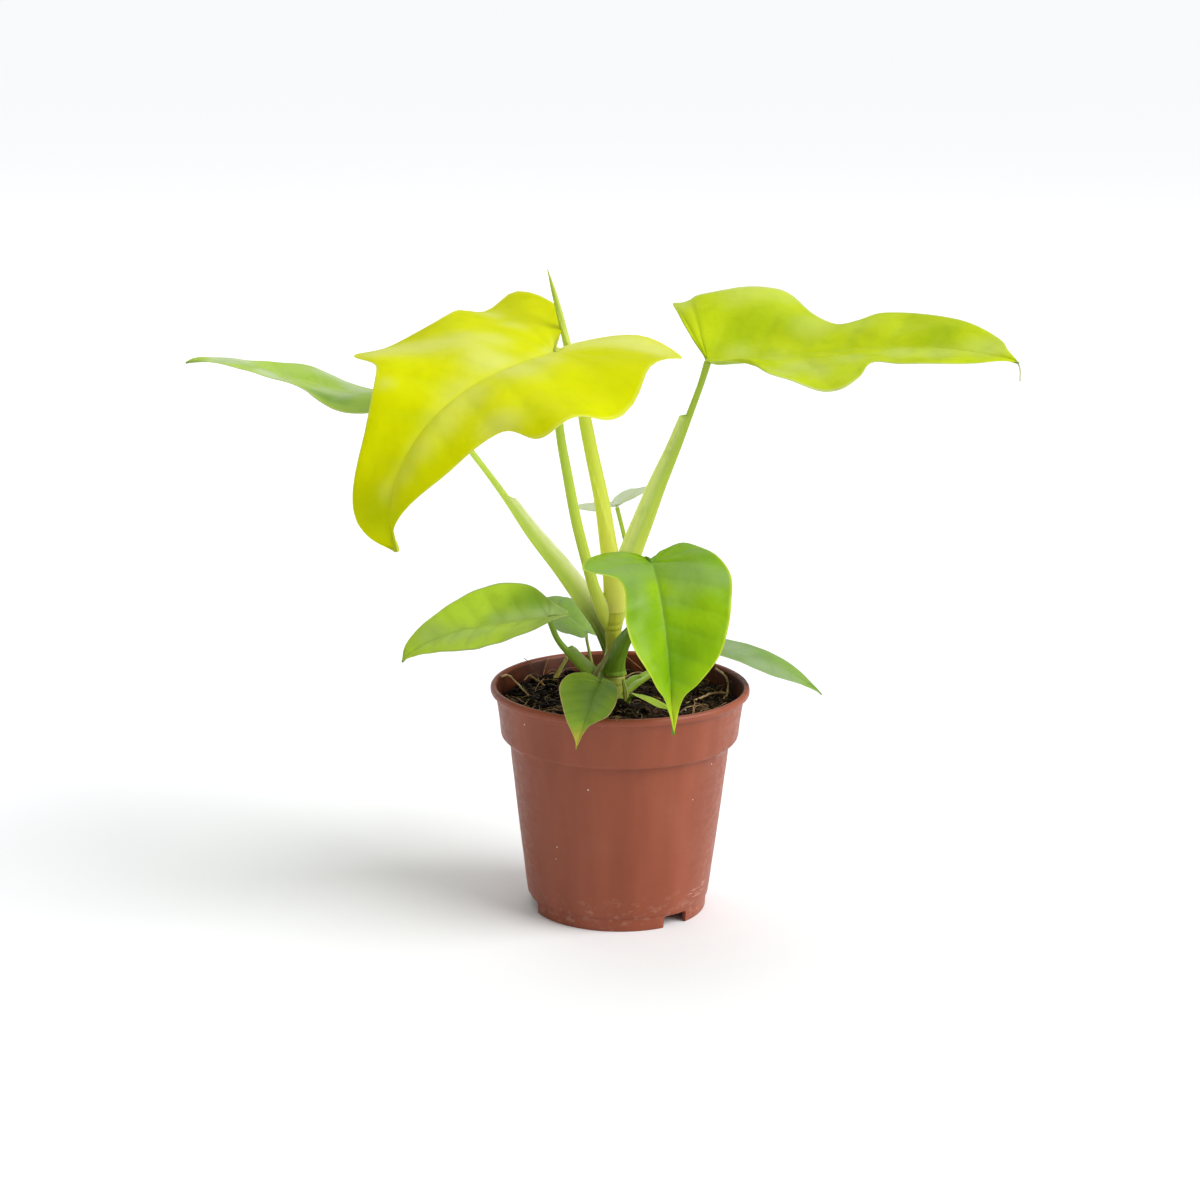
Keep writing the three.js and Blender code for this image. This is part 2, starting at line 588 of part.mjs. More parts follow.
// The collar ends in a sharp ledge at the front and back, and runs out in a slope at the two sides.
// The profile goes from the middle of the floor out under the foot, up the outside, over the lip and
// down the inside.
function potProfile(turn) {
  const fromFront = Math.abs(90 - (Math.abs(THREE.MathUtils.radToDeg(turn) - 180) % 180));
  const slope = THREE.MathUtils.smoothstep(fromFront, ledgeHalfAngle - ledgeFade, ledgeHalfAngle + ledgeFade);
  const ledgeZ = ledgeTopZ - (ledgeTopZ - sideSlopeZ) * slope;
  const ledgeRadius = shoulderRadius + 0.6 * (1 - slope);
  const lipBottomZ = rimHeight - lipDrop;
  return [
    [0, footHeight],
    [footRadius - footWall, footHeight],
    [footRadius - footWall, 0],
    [footRadius - 0.5, 0],
    [footRadius, 0.8],
    [footRadius + 0.3, footHeight],
    [bodyBottomRadius + 0.05, footHeight + 0.6],
    [ledgeRadius, ledgeZ],
    [collarBottomRadius - 0.5, collarBottomZ - 0.4],
    [collarBottomRadius, collarBottomZ + 0.6],
    [collarTopRadius, lipBottomZ - 0.6],
    [rimRadius - 0.5, lipBottomZ],
    [rimRadius, lipBottomZ + 1],
    [rimRadius - 0.2, rimHeight - 0.7],
    [rimRadius - 1, rimHeight],
    [rimRadius - 2, rimHeight],
    [rimRadius - 2.8, rimHeight - 1],
    [collarTopRadius - wall - 0.4, lipBottomZ - 2],
    [collarBottomRadius - wall, collarBottomZ + 1.6],
    [ledgeRadius - wall, ledgeZ + 1],
    [innerRadius(floorZ), floorZ],
    [0, floorZ],
  ];
}

function potSolid() {
  const ring = (from, to, inner, outer, low, high) => {
    const outline = new THREE.Shape();
    outline.absarc(0, 0, outer, from, to, false);
    outline.absarc(0, 0, inner, to, from, true);
    outline.closePath();
    const options = { depth: high - low, bevelEnabled: false, curveSegments: 4 };
    return solid(new THREE.ExtrudeGeometry(outline, options).translate(0, 0, low));
  };
  const cutters = [];
  for (const [angle, width] of notches) {
    const from = radians(angle) - width / 2 / footRadius;
    const to = radians(angle) + width / 2 / footRadius;
    cutters.push(ring(from, to, footRadius - footWall - cutOver, footRadius + cutOver, -1, notchHeight));
  }
  for (let i = 0; i < drainCount; i++) {
    const turn = (2 * Math.PI * i) / drainCount;
    const length = floorThickness + 2 * cutOver;
    const hole = new THREE.CylinderGeometry(drainRadius, drainRadius, length, drainSides).rotateX(Math.PI / 2);
    hole.translate(drainCircle * Math.cos(turn), drainCircle * Math.sin(turn), footHeight + floorThickness / 2);
    cutters.push(solid(hole));
  }
  return cutBy(solid(revolve(potProfile, potSegments)), cutters);
}

function soilLevel(x, y) {
  const wave = Math.sin(0.21 * x + 0.13 * y + 1) * Math.sin(0.17 * y - 0.09 * x + 2);
  const lump = Math.sin(0.43 * x - 0.3 * y) * Math.cos(0.37 * y + 0.2 * x);
  return soilZ + soilBump * (0.6 * wave + 0.4 * lump);
}

function soilSolid(grow = 0) {
  const rings = [1, 0.8, 0.6, 0.4, 0.2];
  const rise = (soilZ - collarBottomZ) / (rimHeight - collarBottomZ);
  const collarRadius = collarBottomRadius + (collarTopRadius - collarBottomRadius) * rise;
  const topRadius = collarRadius - wall - soilClearance - 0.4;
  const profile = (turn) => {
    const top = rings.map((share) => {
      const radius = topRadius * share;
      return [radius, soilLevel(radius * Math.cos(turn), radius * Math.sin(turn)) + grow];
    });
    return [
      [0, floorZ + gap],
      [innerRadius(floorZ) - soilClearance, floorZ + gap],
      [innerRadius(shoulderEndZ) - soilClearance, collarBottomZ],
      [collarBottomRadius - wall - soilClearance - 0.3, collarBottomZ + 2.8],
      ...top,
      [0, soilLevel(0, 0) + grow],
    ];
  };
  return solid(revolve(profile, soilSegments));
}

// Assembly

const solids = {};
const colours = {};
const grown = {};

solids.pot = potSolid();
colours.pot = 0x95533d;
solids.soil = soilSolid();
colours.soil = 0x2c2018;
const soilGrown = soilSolid(gap);

const bladesGrown = {};
for (const [name, leaf] of Object.entries(leaves)) {
  solids[name] = solid(bladeGeometry(leaf));
  colours[name] = leaf.colour;
  bladesGrown[name] = solid(bladeGeometry(leaf, gap));
}

for (const [name, stalk] of Object.entries(stalks)) {
  const cutters = [soilGrown, ...Object.values(grown)];
  if (stalk.leaf) {
    cutters.push(bladesGrown[stalk.leaf]);
  }
  solids[name] = cutBy(solid(stalkGeometry(stalk)), cutters);
  colours[name] = stalk.colour;
  grown[name] = solid(stalkGeometry(stalk, gap));
}

solids.new_leaf_spear = solid(stalkGeometry({ path: spearPath, size: spearSize, sides: 8, steps: 9 }));
colours.new_leaf_spear = 0xcfdc60;

for (const [name, path] of Object.entries(roots)) {
  const section = new THREE.Shape();
  section.absarc(0, 0, rootRadius, 0, 2 * Math.PI, false);
  const geometry = new THREE.ExtrudeGeometry(section, { extrudePath: curve(path), steps: 8, curveSegments: 3 });
  solids[name] = cutBy(solid(geometry), [soilGrown]);
  colours[name] = 0xb08a5a;
}

const plant = new THREE.Group();
plant.position.set(potAxisFromOrigin[0], potAxisFromOrigin[1], 0);
for (const [name, body] of Object.entries(solids)) {
  const roughness = name === "pot" ? 0.55 : name === "soil" ? 0.95 : 0.45;
  const material = new THREE.MeshStandardMaterial({ color: colours[name], roughness, metalness: 0 });
  const mesh = new THREE.Mesh(geometryOf(body), material);
  mesh.name = name;
  plant.add(mesh);
}

const potted = new THREE.Group();
potted.add(plant);

export default potted;
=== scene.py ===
"""Golden violin philodendron in a plastic nursery pot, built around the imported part.

Metres, +Z up, the pot's foot on the floor. Tables are in millimetres from the pot's axis, with the
viewer of the photograph on the -Y side, and every finished piece has its place in its own mesh.
"""

import math
import random

import bpy
import numpy as np
from mathutils import Matrix, Vector, noise


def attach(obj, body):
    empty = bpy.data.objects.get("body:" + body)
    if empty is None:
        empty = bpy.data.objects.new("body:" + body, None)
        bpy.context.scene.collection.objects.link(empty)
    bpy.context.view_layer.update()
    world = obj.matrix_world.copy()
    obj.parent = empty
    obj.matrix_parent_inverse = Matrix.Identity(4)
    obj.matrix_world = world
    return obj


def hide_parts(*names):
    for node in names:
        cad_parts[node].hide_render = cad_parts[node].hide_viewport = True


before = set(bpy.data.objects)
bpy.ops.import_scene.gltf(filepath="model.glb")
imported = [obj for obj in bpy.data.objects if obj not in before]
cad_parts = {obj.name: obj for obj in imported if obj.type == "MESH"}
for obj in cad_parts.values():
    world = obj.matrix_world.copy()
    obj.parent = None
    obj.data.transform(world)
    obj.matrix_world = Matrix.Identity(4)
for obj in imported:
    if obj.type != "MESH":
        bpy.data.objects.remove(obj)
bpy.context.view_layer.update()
scene = bpy.context.scene

MM = 0.001
POT_AXIS = (14, -4)

# Leaf blades: junction with the petiole, length, half width, heading of the midrib (degrees about +Z
# from +X, and its turn to the tip), pitch at base, middle and tip, pitch added along the basal lobes and
# roll. groove and frill are the depth of the midrib's groove and the height of the margin's frill. Three
# lists of patches of colour follow as (along, out, reach, strength): pale patches of painted highlight where
# the waxy skin reflects the bright room, lighter patches that are fresher green and on the gold blade
# painted fill light where it turns from the lamps, and deep, the darker patches. Each half has the fold and
# curl across it, the wave of its margin (height, waves, phase) and its flat outline (along, out).

BLADES = {
    "leaf_golden_front": {
        "at": (-31, -5, 262), "length": 144, "half_width": 55, "heading": (235, -30),
        "pitch": (-3, -32, -111), "lobe_pitch": -37, "roll": (-7, -30), "groove": 0.1,
        "painted_highlight": [(62, -55, 9, 0.85), (53, -47, 10, 0.7), (45, -36, 11, 0.7), (33, -27, 11, 0.65),
            (20, -20, 9, 0.5), (38, -8, 13, 0.7), (32, 6, 13, 0.7), (15, 6, 9, 0.65), (3, 1, 6, 0.7),
            (-9, 1, 8, 0.75), (-19, 6, 9, 0.8), (-27, 15, 10, 0.85), (-28, 26, 10, 0.85), (-30, 36, 9, 0.8),
            (-24, 44, 7, 0.5), (62, 3, 13, 0.5), (80, 6, 10, 0.4), (95, 6, 8, 0.35), (107, 4, 7, 0.3),
            (117, -1, 6, 0.25), (78, -29, 4, 0.4), (-12, -46, 8, 0.5), (70, 33, 11, 0.5),
            (-4, -27, 7, 0.4)],
        # The gold blade's lighter patches are painted fill light, where it turns away from the lamps.
        "fresh_and_painted_fill": [(75, -24, 22, 0.7), (100, -14, 20, 0.7), (84, 16, 18, 0.7), (60, -40, 14, 0.6),
            (106, 12, 14, 0.7), (60, 22, 14, 0.5), (40, -45, 12, 0.4)],
        "deep": [(85, -4, 8, 0.3), (97, 16, 7, 0.2), (129, -1, 10, 0.5), (126, -10, 10, 0.5)],
        "left": {"fold": (6, 16), "curl": (-17, 0), "wave": (-7, 2, -16),
            "outline": [(0, 0), (-22, 3), (-37, 23), (-32, 47), (-7, 47), (18, 56), (64, 56.2), (73, 35),
                (106, 23), (131, 4), (144, 0)]},
        "right": {"fold": (16, -6), "curl": (-25, -21), "wave": (5, 1.8, 54),
            "outline": [(0, 0), (-11, 7), (-35.5, 21.5), (-39.5, 51.5), (-9, 54), (21, 52), (67, 63),
                (73, 41), (98, 23), (130, 17), (144, 0)]},
    },
    "leaf_golden_right": {
        "at": (38, 10, 256), "length": 142, "half_width": 50, "heading": (4, -30),
        "pitch": (1, 6, -13), "lobe_pitch": -25, "roll": (12, -2),
        "painted_highlight": [(15, 3, 8, 0.5), (31, -4, 9, 0.5), (42, -23, 10, 0.65), (33, -37, 9, 0.6),
            (52, -34, 8, 0.5), (66, -18, 9, 0.5), (88, -10, 10, 0.6), (107, -8, 11, 0.6), (123, 2, 10, 0.5),
            (130, 7, 8, 0.4), (16, 45, 9, 0.45), (27, 47, 8, 0.45), (37, 46, 7, 0.4), (48, 20, 11, 0.45),
            (66, 20, 9, 0.3), (-9, 46, 7, 0.5)],
        "deep": [(19, 19, 11, 0.6), (28, 32, 10, 0.5), (103, 8, 12, 0.5), (4, 9, 8, 0.3), (39, 23, 9, 0.4),
            (34, 42, 5, 0.3)],
        "left": {"fold": (22, -2), "curl": (-19, 3), "wave": (7, 1.3, 35),
            "outline": [(0, 0), (-3.2, 7.5), (-6, 15.6), (-8.4, 23.4), (-11, 33.5), (-13.5, 50), (-9, 48),
                (-4.5, 47), (-0.5, 49), (10, 49), (29, 51), (39.5, 50), (48, 33), (56, 24), (62, 22.5),
                (69, 27), (75, 34), (82, 34), (92, 29), (113, 20), (129, 12), (135, 5.5), (142, 0)]},
        "right": {"fold": (17, -16), "curl": (-4, -9), "wave": (5, 1.4, 75),
            "outline": [(0, 0), (-1.5, 3), (0, 6), (5, 9.5), (13.5, 18), (20, 31), (26, 45), (37, 48),
                (50, 51.5), (59, 52.5), (67, 50.5), (73.5, 41), (78, 26), (92, 30), (105, 29), (116, 23),
                (128, 12.5), (135, 5), (142, 0)]},
    },
    "leaf_green_left": {
        "at": (-92, 45, 238), "length": 114, "half_width": 32, "heading": (182, 3),
        "pitch": (-26, 17, -10), "roll": (2, -7),
        "painted_highlight": [(96, -2, 9, 0.9), (89, -1, 8, 0.7), (75, 11, 7, 0.8), (68, 14, 7, 0.6), (49, -18, 8, 0.6),
            (39, -17, 9, 0.7), (32, -6, 9, 0.7), (48, 9, 7, 0.5), (38, 13, 7, 0.5)],
        "fresh_and_painted_fill": [(78, -4, 9, 0.6), (64, -11, 9, 0.7), (57, -15, 7, 0.5), (42, 31, 8, 0.5),
            (34, 29, 7, 0.4)],
        "deep": [(51, 21, 7, 0.8), (45, 22, 7, 0.95), (39, 20, 7, 0.9)],
        "left": {"fold": (6, -2), "curl": (-16, 0), "wave": (3, 1.7, 108),
            "outline": [(0, 0), (-12, 3), (-28, 13), (-30, 26), (-8, 33), (19, 30), (49, 32), (59, 22),
                (83, 14), (107, 2), (114, 0)]},
        "right": {"fold": (3, 11), "curl": (-18, 5), "wave": (2, 1.6, 142),
            "outline": [(0, 0), (-12, 3), (-28, 13), (-30, 26), (-8, 33), (18, 31), (50, 31), (61, 24),
                (85, 6), (108, 3), (114, 0)]},
    },
    "leaf_heart_front": {
        "at": (13, -34, 172.5), "length": 84, "half_width": 30, "heading": (280, 13),
        "pitch": (-14, -66, -76), "roll": (2, -3), "groove": 0.2,
        "painted_highlight": [(13, -27, 7, 0.6), (9, -19, 9, 0.65), (8, -10, 9, 0.6), (16, -12, 7, 0.7),
            (26, -13, 7, 0.5), (8, -3, 7, 0.5), (11, 9, 8, 0.6), (14, 15, 9, 0.6), (15, 23, 9, 0.65),
            (17, 30, 6, 0.75), (23, 9, 7, 0.35), (25, 3, 3, 0.4)],
        "fresh_and_painted_fill": [(46, -24, 4, 0.5), (54, -19, 5, 0.7), (63, -11, 5, 0.7), (33, 28, 6, 0.6),
            (45, 24, 6, 0.6), (54, 18, 7, 0.7), (60, 11, 8, 0.9), (22, 21, 6, 0.5), (35, 16, 8, 0.4)],
        "deep": [(2, 20, 9, 0.5), (32, -9, 10, 0.5), (46, 5, 9, 0.7), (43, 15, 7, 0.4), (42, -12, 9, 0.5),
            (54, -7, 7, 0.4), (58, 4, 7, 0.4)],
        "left": {"fold": (11, 6), "curl": (-10, 6),
            "outline": [(0, 0), (-9, 7), (-11, 20), (11, 32), (28, 31), (49, 24), (62, 13), (69, 5),
                (84, 0)]},
        "right": {"fold": (9, 37), "curl": (-3, 19),
            "outline": [(0, 0), (-8, 7), (-8.5, 20), (11.5, 34.6), (17, 18), (42, 23), (61, 13), (70, 5),
                (84, 0)]},
    },
    "leaf_green_low_left": {
        "at": (-33, -8, 140), "length": 73, "half_width": 24, "heading": (179, -4),
        "pitch": (-11, -13, -49), "lobe_pitch": 1, "roll": (0, -20),
        "painted_highlight": [(55, -3, 8, 0.5), (43, 4, 8, 0.5), (32, 9, 8, 0.45), (21, -1, 9, 0.5), (11, -2, 9, 0.6),
            (1, -4, 8, 0.8), (-5, -6, 8, 0.8)],
        "fresh_and_painted_fill": [(51, -11, 10, 0.7), (38, -9, 8, 0.9), (59, 3, 8, 0.9), (30, -15, 8, 0.5),
            (22, -22, 8, 0.4), (16, 14, 9, 0.5), (31, 19, 9, 0.5), (49, 11, 9, 0.6), (64, 0, 9, 0.95),
            (46, -15, 9, 0.7)],
        "deep": [(9, -16, 10, 0.7), (4, -12, 8, 0.6), (25, -4, 6, 0.5), (71, -3, 3, 0.4),
            (19, -12, 8, 0.3)],
        "left": {"fold": (12, -17), "curl": (-12, -11),
            "outline": [(0, 0), (-9, 7), (-8, 16), (9, 24), (31, 23), (53, 12), (68, 3), (73, 0)]},
        "right": {"fold": (12, 14), "curl": (15, 6), "wave": (1, 1.4, -40),
            "outline": [(0, 0), (-9, 2), (-2, 14), (8, 25), (32, 23), (52, 13), (67, 6), (73, 0)]},
    },
    "leaf_small_back_left": {
        "at": (-16, 28, 124), "length": 37, "half_width": 17, "heading": (145, -14),
        "pitch": (32, 13, -21), "lobe_pitch": -1, "roll": (7, -42),
        "left": {"fold": (7, -27), "curl": (-9, 5),
            "outline": [(0, 0), (-4, 5), (-3, 13), (4, 16), (15, 10), (27, 7), (33, 3), (37, 0)]},
        "right": {"fold": (-3, 14), "curl": (-40, 2), "wave": (-1, 1.5, -17),
            "outline": [(0, 0), (-3, 5), (0, 12), (6, 16), (17, 15), (27, 9), (33, 4), (37, 0)]},
    },
    "leaf_small_rim": {
        "at": (-9.2, -47.3, 120.3), "length": 33.5, "half_width": 15, "heading": (240, 3),
        "pitch": (-38, -50, -56), "lobe_pitch": 10, "roll": (0, 0),
        "painted_highlight": [(11, 3, 6, 0.5), (2, 7, 6, 0.6), (6, -3, 5, 0.3)],
        "fresh_and_painted_fill": [(10, 10, 5, 0.9), (16, 6, 5, 0.5), (22, -6, 5, 0.6), (27, 0, 5, 0.9), (25, -2, 5, 0.8)],
        "left": {"fold": (8, 0), "curl": (-10, 0),
            "outline": [(0, 0), (-2, 1), (-1.2, 5), (1.2, 9), (4.6, 11.6), (9, 12.5), (13.5, 12.1),
                (17.4, 10.1), (22.1, 3.6), (27, 1.3), (33.5, 0)]},
        "right": {"fold": (26, -6), "curl": (-8, 0),
            "outline": [(0, 0), (-2, 4), (-1.2, 9.5), (2.8, 15), (8.8, 16), (16, 11.8), (22, 7.8),
                (26.5, 4), (30.5, 1.1), (33.5, 0)]},
    },
    "leaf_low_right": {
        "at": (35, 22, 120.5), "length": 67, "half_width": 15, "heading": (-25, 1),
        "pitch": (-2, -13, -35), "roll": (-1, 5), "frill": 0.1,
        "painted_highlight": [(14, 6, 8, 0.6), (22, 1, 8, 0.5), (34, -5, 7, 0.6), (43, -5, 7, 0.5), (52, -5, 6, 0.4)],
        "fresh_and_painted_fill": [(35, 5, 7, 0.5), (44, 4, 7, 0.6), (51, 4, 6, 0.7)],
        "deep": [(35, 1, 7, 0.5)],
        "left": {"fold": (6, 2), "curl": (-13, 2),
            "outline": [(0, 0), (-8, 5), (-8, 10), (8, 15), (26, 13), (45, 8), (58, 3), (67, 0)]},
        "right": {"fold": (7, -8), "curl": (-9, -2), "wave": (1, 1.4, -40),
            "outline": [(0, 0), (-8, 5), (-8, 11), (8, 15), (26, 12), (45, 10), (58, 4), (67, 0)]},
    },
    "leaf_rear": {
        "at": (-2, 50, 180), "length": 48, "half_width": 18, "heading": (94, -2),
        "pitch": (-3, -12, -6), "lobe_pitch": -1, "roll": (-11, -4),
        "left": {"fold": (6, 7), "curl": (-3, 18),
            "outline": [(0, 0), (-6, 6), (-6, 12), (6, 19), (20, 16), (34, 9), (43, 4), (48, 0)]},
        "right": {"fold": (33, 14), "curl": (-40, -20), "wave": (1, 1.5, 19),
            "outline": [(0, 0), (-6, 3), (-5, 12), (6, 17), (20, 16), (34, 9), (43, 5), (48, 0)]},
    },
    "leaf_tiny": {
        "at": (9, -24, 108), "length": 19, "half_width": 5, "heading": (314, 1),
        "pitch": (-2, -12, -7), "lobe_pitch": 2, "roll": (-9, 8),
        "left": {"fold": (0, 9), "curl": (-16, 3),
            "outline": [(0, 0), (-2, 2), (-2, 4), (2, 5), (8, 4), (14, 3), (17, 1), (19, 0)]},
        "right": {"fold": (12, -8), "curl": (-14, -5),
            "outline": [(0, 0), (-2, 2), (-2, 4), (2, 5), (8, 4), (14, 3), (17, 1), (19, 0)]},
    },
}

# Stalks: centre line up to the leaf, core radius along it, height of the sheath's two wings along it,
# the share of the length where a sheath ends in its ligule, and the way that the groove faces.

STALKS = {
    "petiole_golden_front": {
        "path": [(-5.2, 5, 130), (-8.3, 2.5, 139), (-12, 2, 150), (-16.5, 1.5, 166), (-21, 0, 184),
            (-25, -2, 205), (-28.5, -3.5, 225), (-30.2, -4.6, 245), (-31, -5, 261)],
        "radius": [1.9, 2.9, 2.8, 2.6, 2.5, 2.3, 2.05, 1.9, 1.4],
        "wing": [0.5, 3.6, 3.0, 0, 0, 0, 0, 0, 0],
        "groove": (0.6, 0.3, 0.5)},
    "petiole_golden_right": {
        "path": [(-3, 5, 128), (-1, 5.5, 138), (2, 7, 152), (6.5, 8, 166), (12, 9, 181), (18, 10, 198),
            (24.5, 10, 215), (30.5, 10, 232), (35, 10, 245), (38, 10, 255.4)],
        "radius": [2.6, 2.9, 2.9, 2.7, 2.4, 2.1, 1.8, 1.6, 1.5, 1.7],
        "wing": [3.0, 5.5, 6.8, 7.2, 6.8, 5.8, 4.6, 3.8, 3, 2],
        "groove": (-0.8, -0.3, 0.3), "ligule": 0.77},
    "petiole_green_left": {
        "path": [(-3, 6, 112), (-6, 7, 122), (-11, 8, 133), (-20, 10, 145), (-30, 14, 158), (-42, 20, 172),
            (-53, 26, 187), (-62, 32, 198), (-71, 36, 209), (-82, 41, 224), (-91.5, 45, 237.6)],
        "radius": [2.4, 2.8, 2.8, 2.6, 2.3, 2.0, 1.7, 1.5, 1.45, 1.4, 1.5],
        "wing": [3.0, 5.0, 7.0, 7.2, 6.4, 5.2, 3.4, 2, 2, 2, 2],
        "groove": (0.6, -0.35, 0.65), "ligule": 0.605},
    "petiole_heart_front": {
        "path": [(-2.8, 0.8, 111.6), (-2.8, 0.6, 114), (-1.6, -2, 119), (0.6, -4.8, 125),
            (3.8, -8.5, 132.5), (8, -18, 145), (11, -27, 158), (13, -34, 171)],
        "radius": [5.5, 5.2, 4.2, 3.2, 2.4, 1.8, 1.5, 1.1],
        "wing": [2.4, 3.8, 4.4, 4.4, 3.0, 0, 0, 0],
        "groove": (-0.2, 0.75, 0.5)},
    "petiole_rear": {
        "path": [(-2, 6, 126), (-1, 8, 132), (2, 14, 140), (3, 26, 154), (2, 37, 165), (-2, 49.5, 179)],
        "radius": [1.6, 1.5, 1.3, 1.15, 1.0, 1.0],
        "wing": [1.8, 1.6, 0, 0, 0, 0],
        "groove": (0, -0.4, 0.9)},
    "petiole_low_left": {
        "path": [(-4, 3, 100), (-9, 1, 106), (-17, -1, 114), (-23, -3, 121), (-29, -5, 129),
            (-33, -8, 139.4)],
        "radius": [2.2, 2.4, 2.1, 1.8, 1.5, 1.4],
        "wing": [3.0, 4.2, 4.2, 3.6, 2.6, 2],
        "groove": (0.6, 0.1, 0.7), "ligule": 0.66},
    "petiole_small_rim": {
        "path": [(-2, 0, 100), (-3, -3, 102.5), (-5.4, -12, 105.4), (-7.2, -24, 108.6), (-8.5, -37, 113),
            (-9.2, -46.8, 119.5)],
        "radius": [1.5, 1.4, 1.15, 1.0, 0.9, 0.9],
        "groove": (0, -0.2, 1)},
    "petiole_low_right": {
        "path": [(0, 2, 99), (3, 3.5, 102.5), (8, 6, 106), (14, 9.5, 109), (21, 14.5, 112.5),
            (28.5, 19, 117), (34.6, 21.8, 120.2)],
        "radius": [2.6, 2.5, 2.3, 2.0, 1.5, 1.2, 1.1],
        "wing": [2.4, 3.2, 3.0, 0, 0, 0, 0],
        "groove": (-0.3, -0.5, 0.8)},
    "petiole_small_back_left": {
        "path": [(-10, 7, 97), (-11, 9.5, 99), (-12, 14, 106), (-14, 20, 114), (-15.6, 25.5, 120),
            (-16, 28, 123.6)],
        "radius": [1.0, 0.95, 0.85, 0.75, 0.7, 0.7],
        "groove": (0.3, 0, 1)},
    "petiole_tiny": {
        "path": [(3, -9, 96), (3.4, -11, 100), (4.5, -14.5, 104), (6.5, -19, 106.5), (9, -24, 107.7)],
        "radius": [1.0, 0.9, 0.8, 0.7, 0.6],
        "groove": (0, 0, 1)},
    "small_shoot": {
        "path": [(3, -7, 96), (2.9, -6.6, 100), (2.4, -6, 105), (1.2, -5.6, 110)],
        "radius": [1.5, 1.3, 1.15, 0.6],
        "groove": (0, -1, 0.2)},
    "petiole_stub": {
        "path": [(-31.6, 37.6, 97), (-30, 38, 99.4), (-28, 38.5, 103), (-25, 39, 108.4)],
        "radius": [1.8, 1.15, 0.95, 0.85],
        "groove": (0, -1, 0.2)},
}

# The stem, the sheath round the new leaf and the rolled new leaf, drawn without a groove. overlap is how
# far the outer margin of a rolled one stands off, as a share of the radius, and rings are the creases of
# the nodes (share of the length, depth).

STEMS = {
    "main_stem": {
        "path": [(-3.2, 3, 96.5), (-3.2, 3, 104), (-3.2, 3.6, 112), (-3, 4.6, 122), (-3.6, 5, 131),
            (-4, 5, 139), (-4.2, 5, 147)],
        "radius": [4.6, 5.2, 5.7, 4.0, 4.1, 4.6, 3.6],
        "rings": [(0.2, 0.7), (0.285, 1.4), (0.67, 0.8), (0.73, 0.4)]},
    "sheath_new_leaf": {
        "path": [(-3.2, 5, 140), (-3.8, 5, 155), (-6.4, 6, 173), (-9.4, 7, 192), (-13.8, 9, 212),
            (-17, 10, 228), (-20, 12, 243)],
        "radius": [4.8, 4.6, 3.9, 3.4, 3.0, 2.7, 2.1], "overlap": 0.22},
    "new_leaf_spear": {
        "path": [(-19.8, 11.9, 241), (-23.5, 13.5, 253), (-26, 15, 263), (-29, 17, 275), (-32, 18, 286),
            (-35, 18, 296)],
        "radius": [2.2, 2.05, 1.75, 1.45, 0.95, 0.15], "overlap": 0.35},
}

# Dry strips left of old sheaths: centre line, half width along it, and the way that they face.

STRIPS = {
    "dry_sheath_left": {
        "path": [(-11, 4.5, 100), (-12.6, 5, 107), (-15.5, 5, 114.5), (-21, 4, 122.6)],
        "half_width": [2.2, 1.9, 1.2, 0.2], "face": (0.5, -0.8, 0.3)},
    "dry_sheath_right": {
        "path": [(-11.4, -3, 104), (-11, -3, 111), (-7.6, -3.6, 118), (-3.4, -4, 125.4)],
        "half_width": [1.8, 1.6, 1.1, 0.2], "face": (-0.4, -0.9, 0.2)},
}

ROOTS = {
    "root_left": [(-55.8, 11, 106.1), (-53, 15, 105.9), (-50.2, 17, 103.4), (-47.8, 15, 101.5),
        (-44.8, 9.5, 100), (-42, 4.8, 98.6)],
    "root_right_arc": [(45.5, 31, 105.6), (48.6, 26, 104.6), (50.3, 21.1, 103.5), (50.8, 17, 102),
        (50, 8, 99.6), (47.5, 0, 99), (45.5, -6.7, 98)],
    "root_right_long": [(50, 11.4, 99.2), (46, 10, 99.8), (42.2, 8.4, 99.6), (37.7, 3, 99.4),
        (33.4, -1, 98.6), (29, -3, 97.8)],
    "root_back_left": [(-43, 30.6, 101.4), (-39, 26, 100.4), (-37, 23.4, 100), (-36, 22, 99.4),
        (-32, 18, 98.4)],
    "root_behind": [(23, 41, 98.6), (19, 38.6, 100.6), (16, 36, 101.2), (13, 34.4, 101.4), (10, 31, 100.8),
        (5, 26, 98.4)],
}

# Materials

# For each kind of node: the inputs that its values go to, the output handed on, and its usual settings.
NODES = {
    "Mix": ((0, 6, 7), 2, {"data_type": "RGBA"}),
    "MapRange": (range(5), 0, {"interpolation_type": "SMOOTHSTEP"}),
    "Math": (range(3), 0, {"operation": "MULTIPLY"}),
    "TexNoise": (("Vector", "Scale", "Detail", "Roughness"), 0, {}),
    "TexVoronoi": (("Vector", "Scale"), "Distance", {}),
    "Mapping": (("Vector", "Scale", "Rotation"), 0, {}),
    "Bump": (("Height", "Distance", "Normal"), 0, {}),
    "TexCoord": ((), "Object", {}),
    "Attribute": ((), "Fac", {}),
    "LightPath": ((), "Is Camera Ray", {}),
}


def linear(colour):
    """An sRGB hex colour as the linear values that the shaders read."""
    shares = [int(colour[k : k + 2], 16) / 255 for k in (1, 3, 5)]
    return (*[c / 12.92 if c <= 0.04045 else ((c + 0.055) / 1.055) ** 2.4 for c in shares], 1.0)


def add(tree, kind, *values, **settings):
    """Adds a node with its settings and returns its output. A value is an input's own value, or the
    output that feeds it."""
    places, handed_on, usual = NODES.get(kind, (range(3), 0, {}))
    made = tree.nodes.new("ShaderNode" + kind)
    for name, setting in (usual | settings).items():
        setattr(made, name, setting)
    for place, value in zip(places, values):
        if isinstance(value, bpy.types.NodeSocket):
            tree.links.new(value, made.inputs[place])
        else:
            made.inputs[place].default_value = value
    return made.outputs[handed_on]


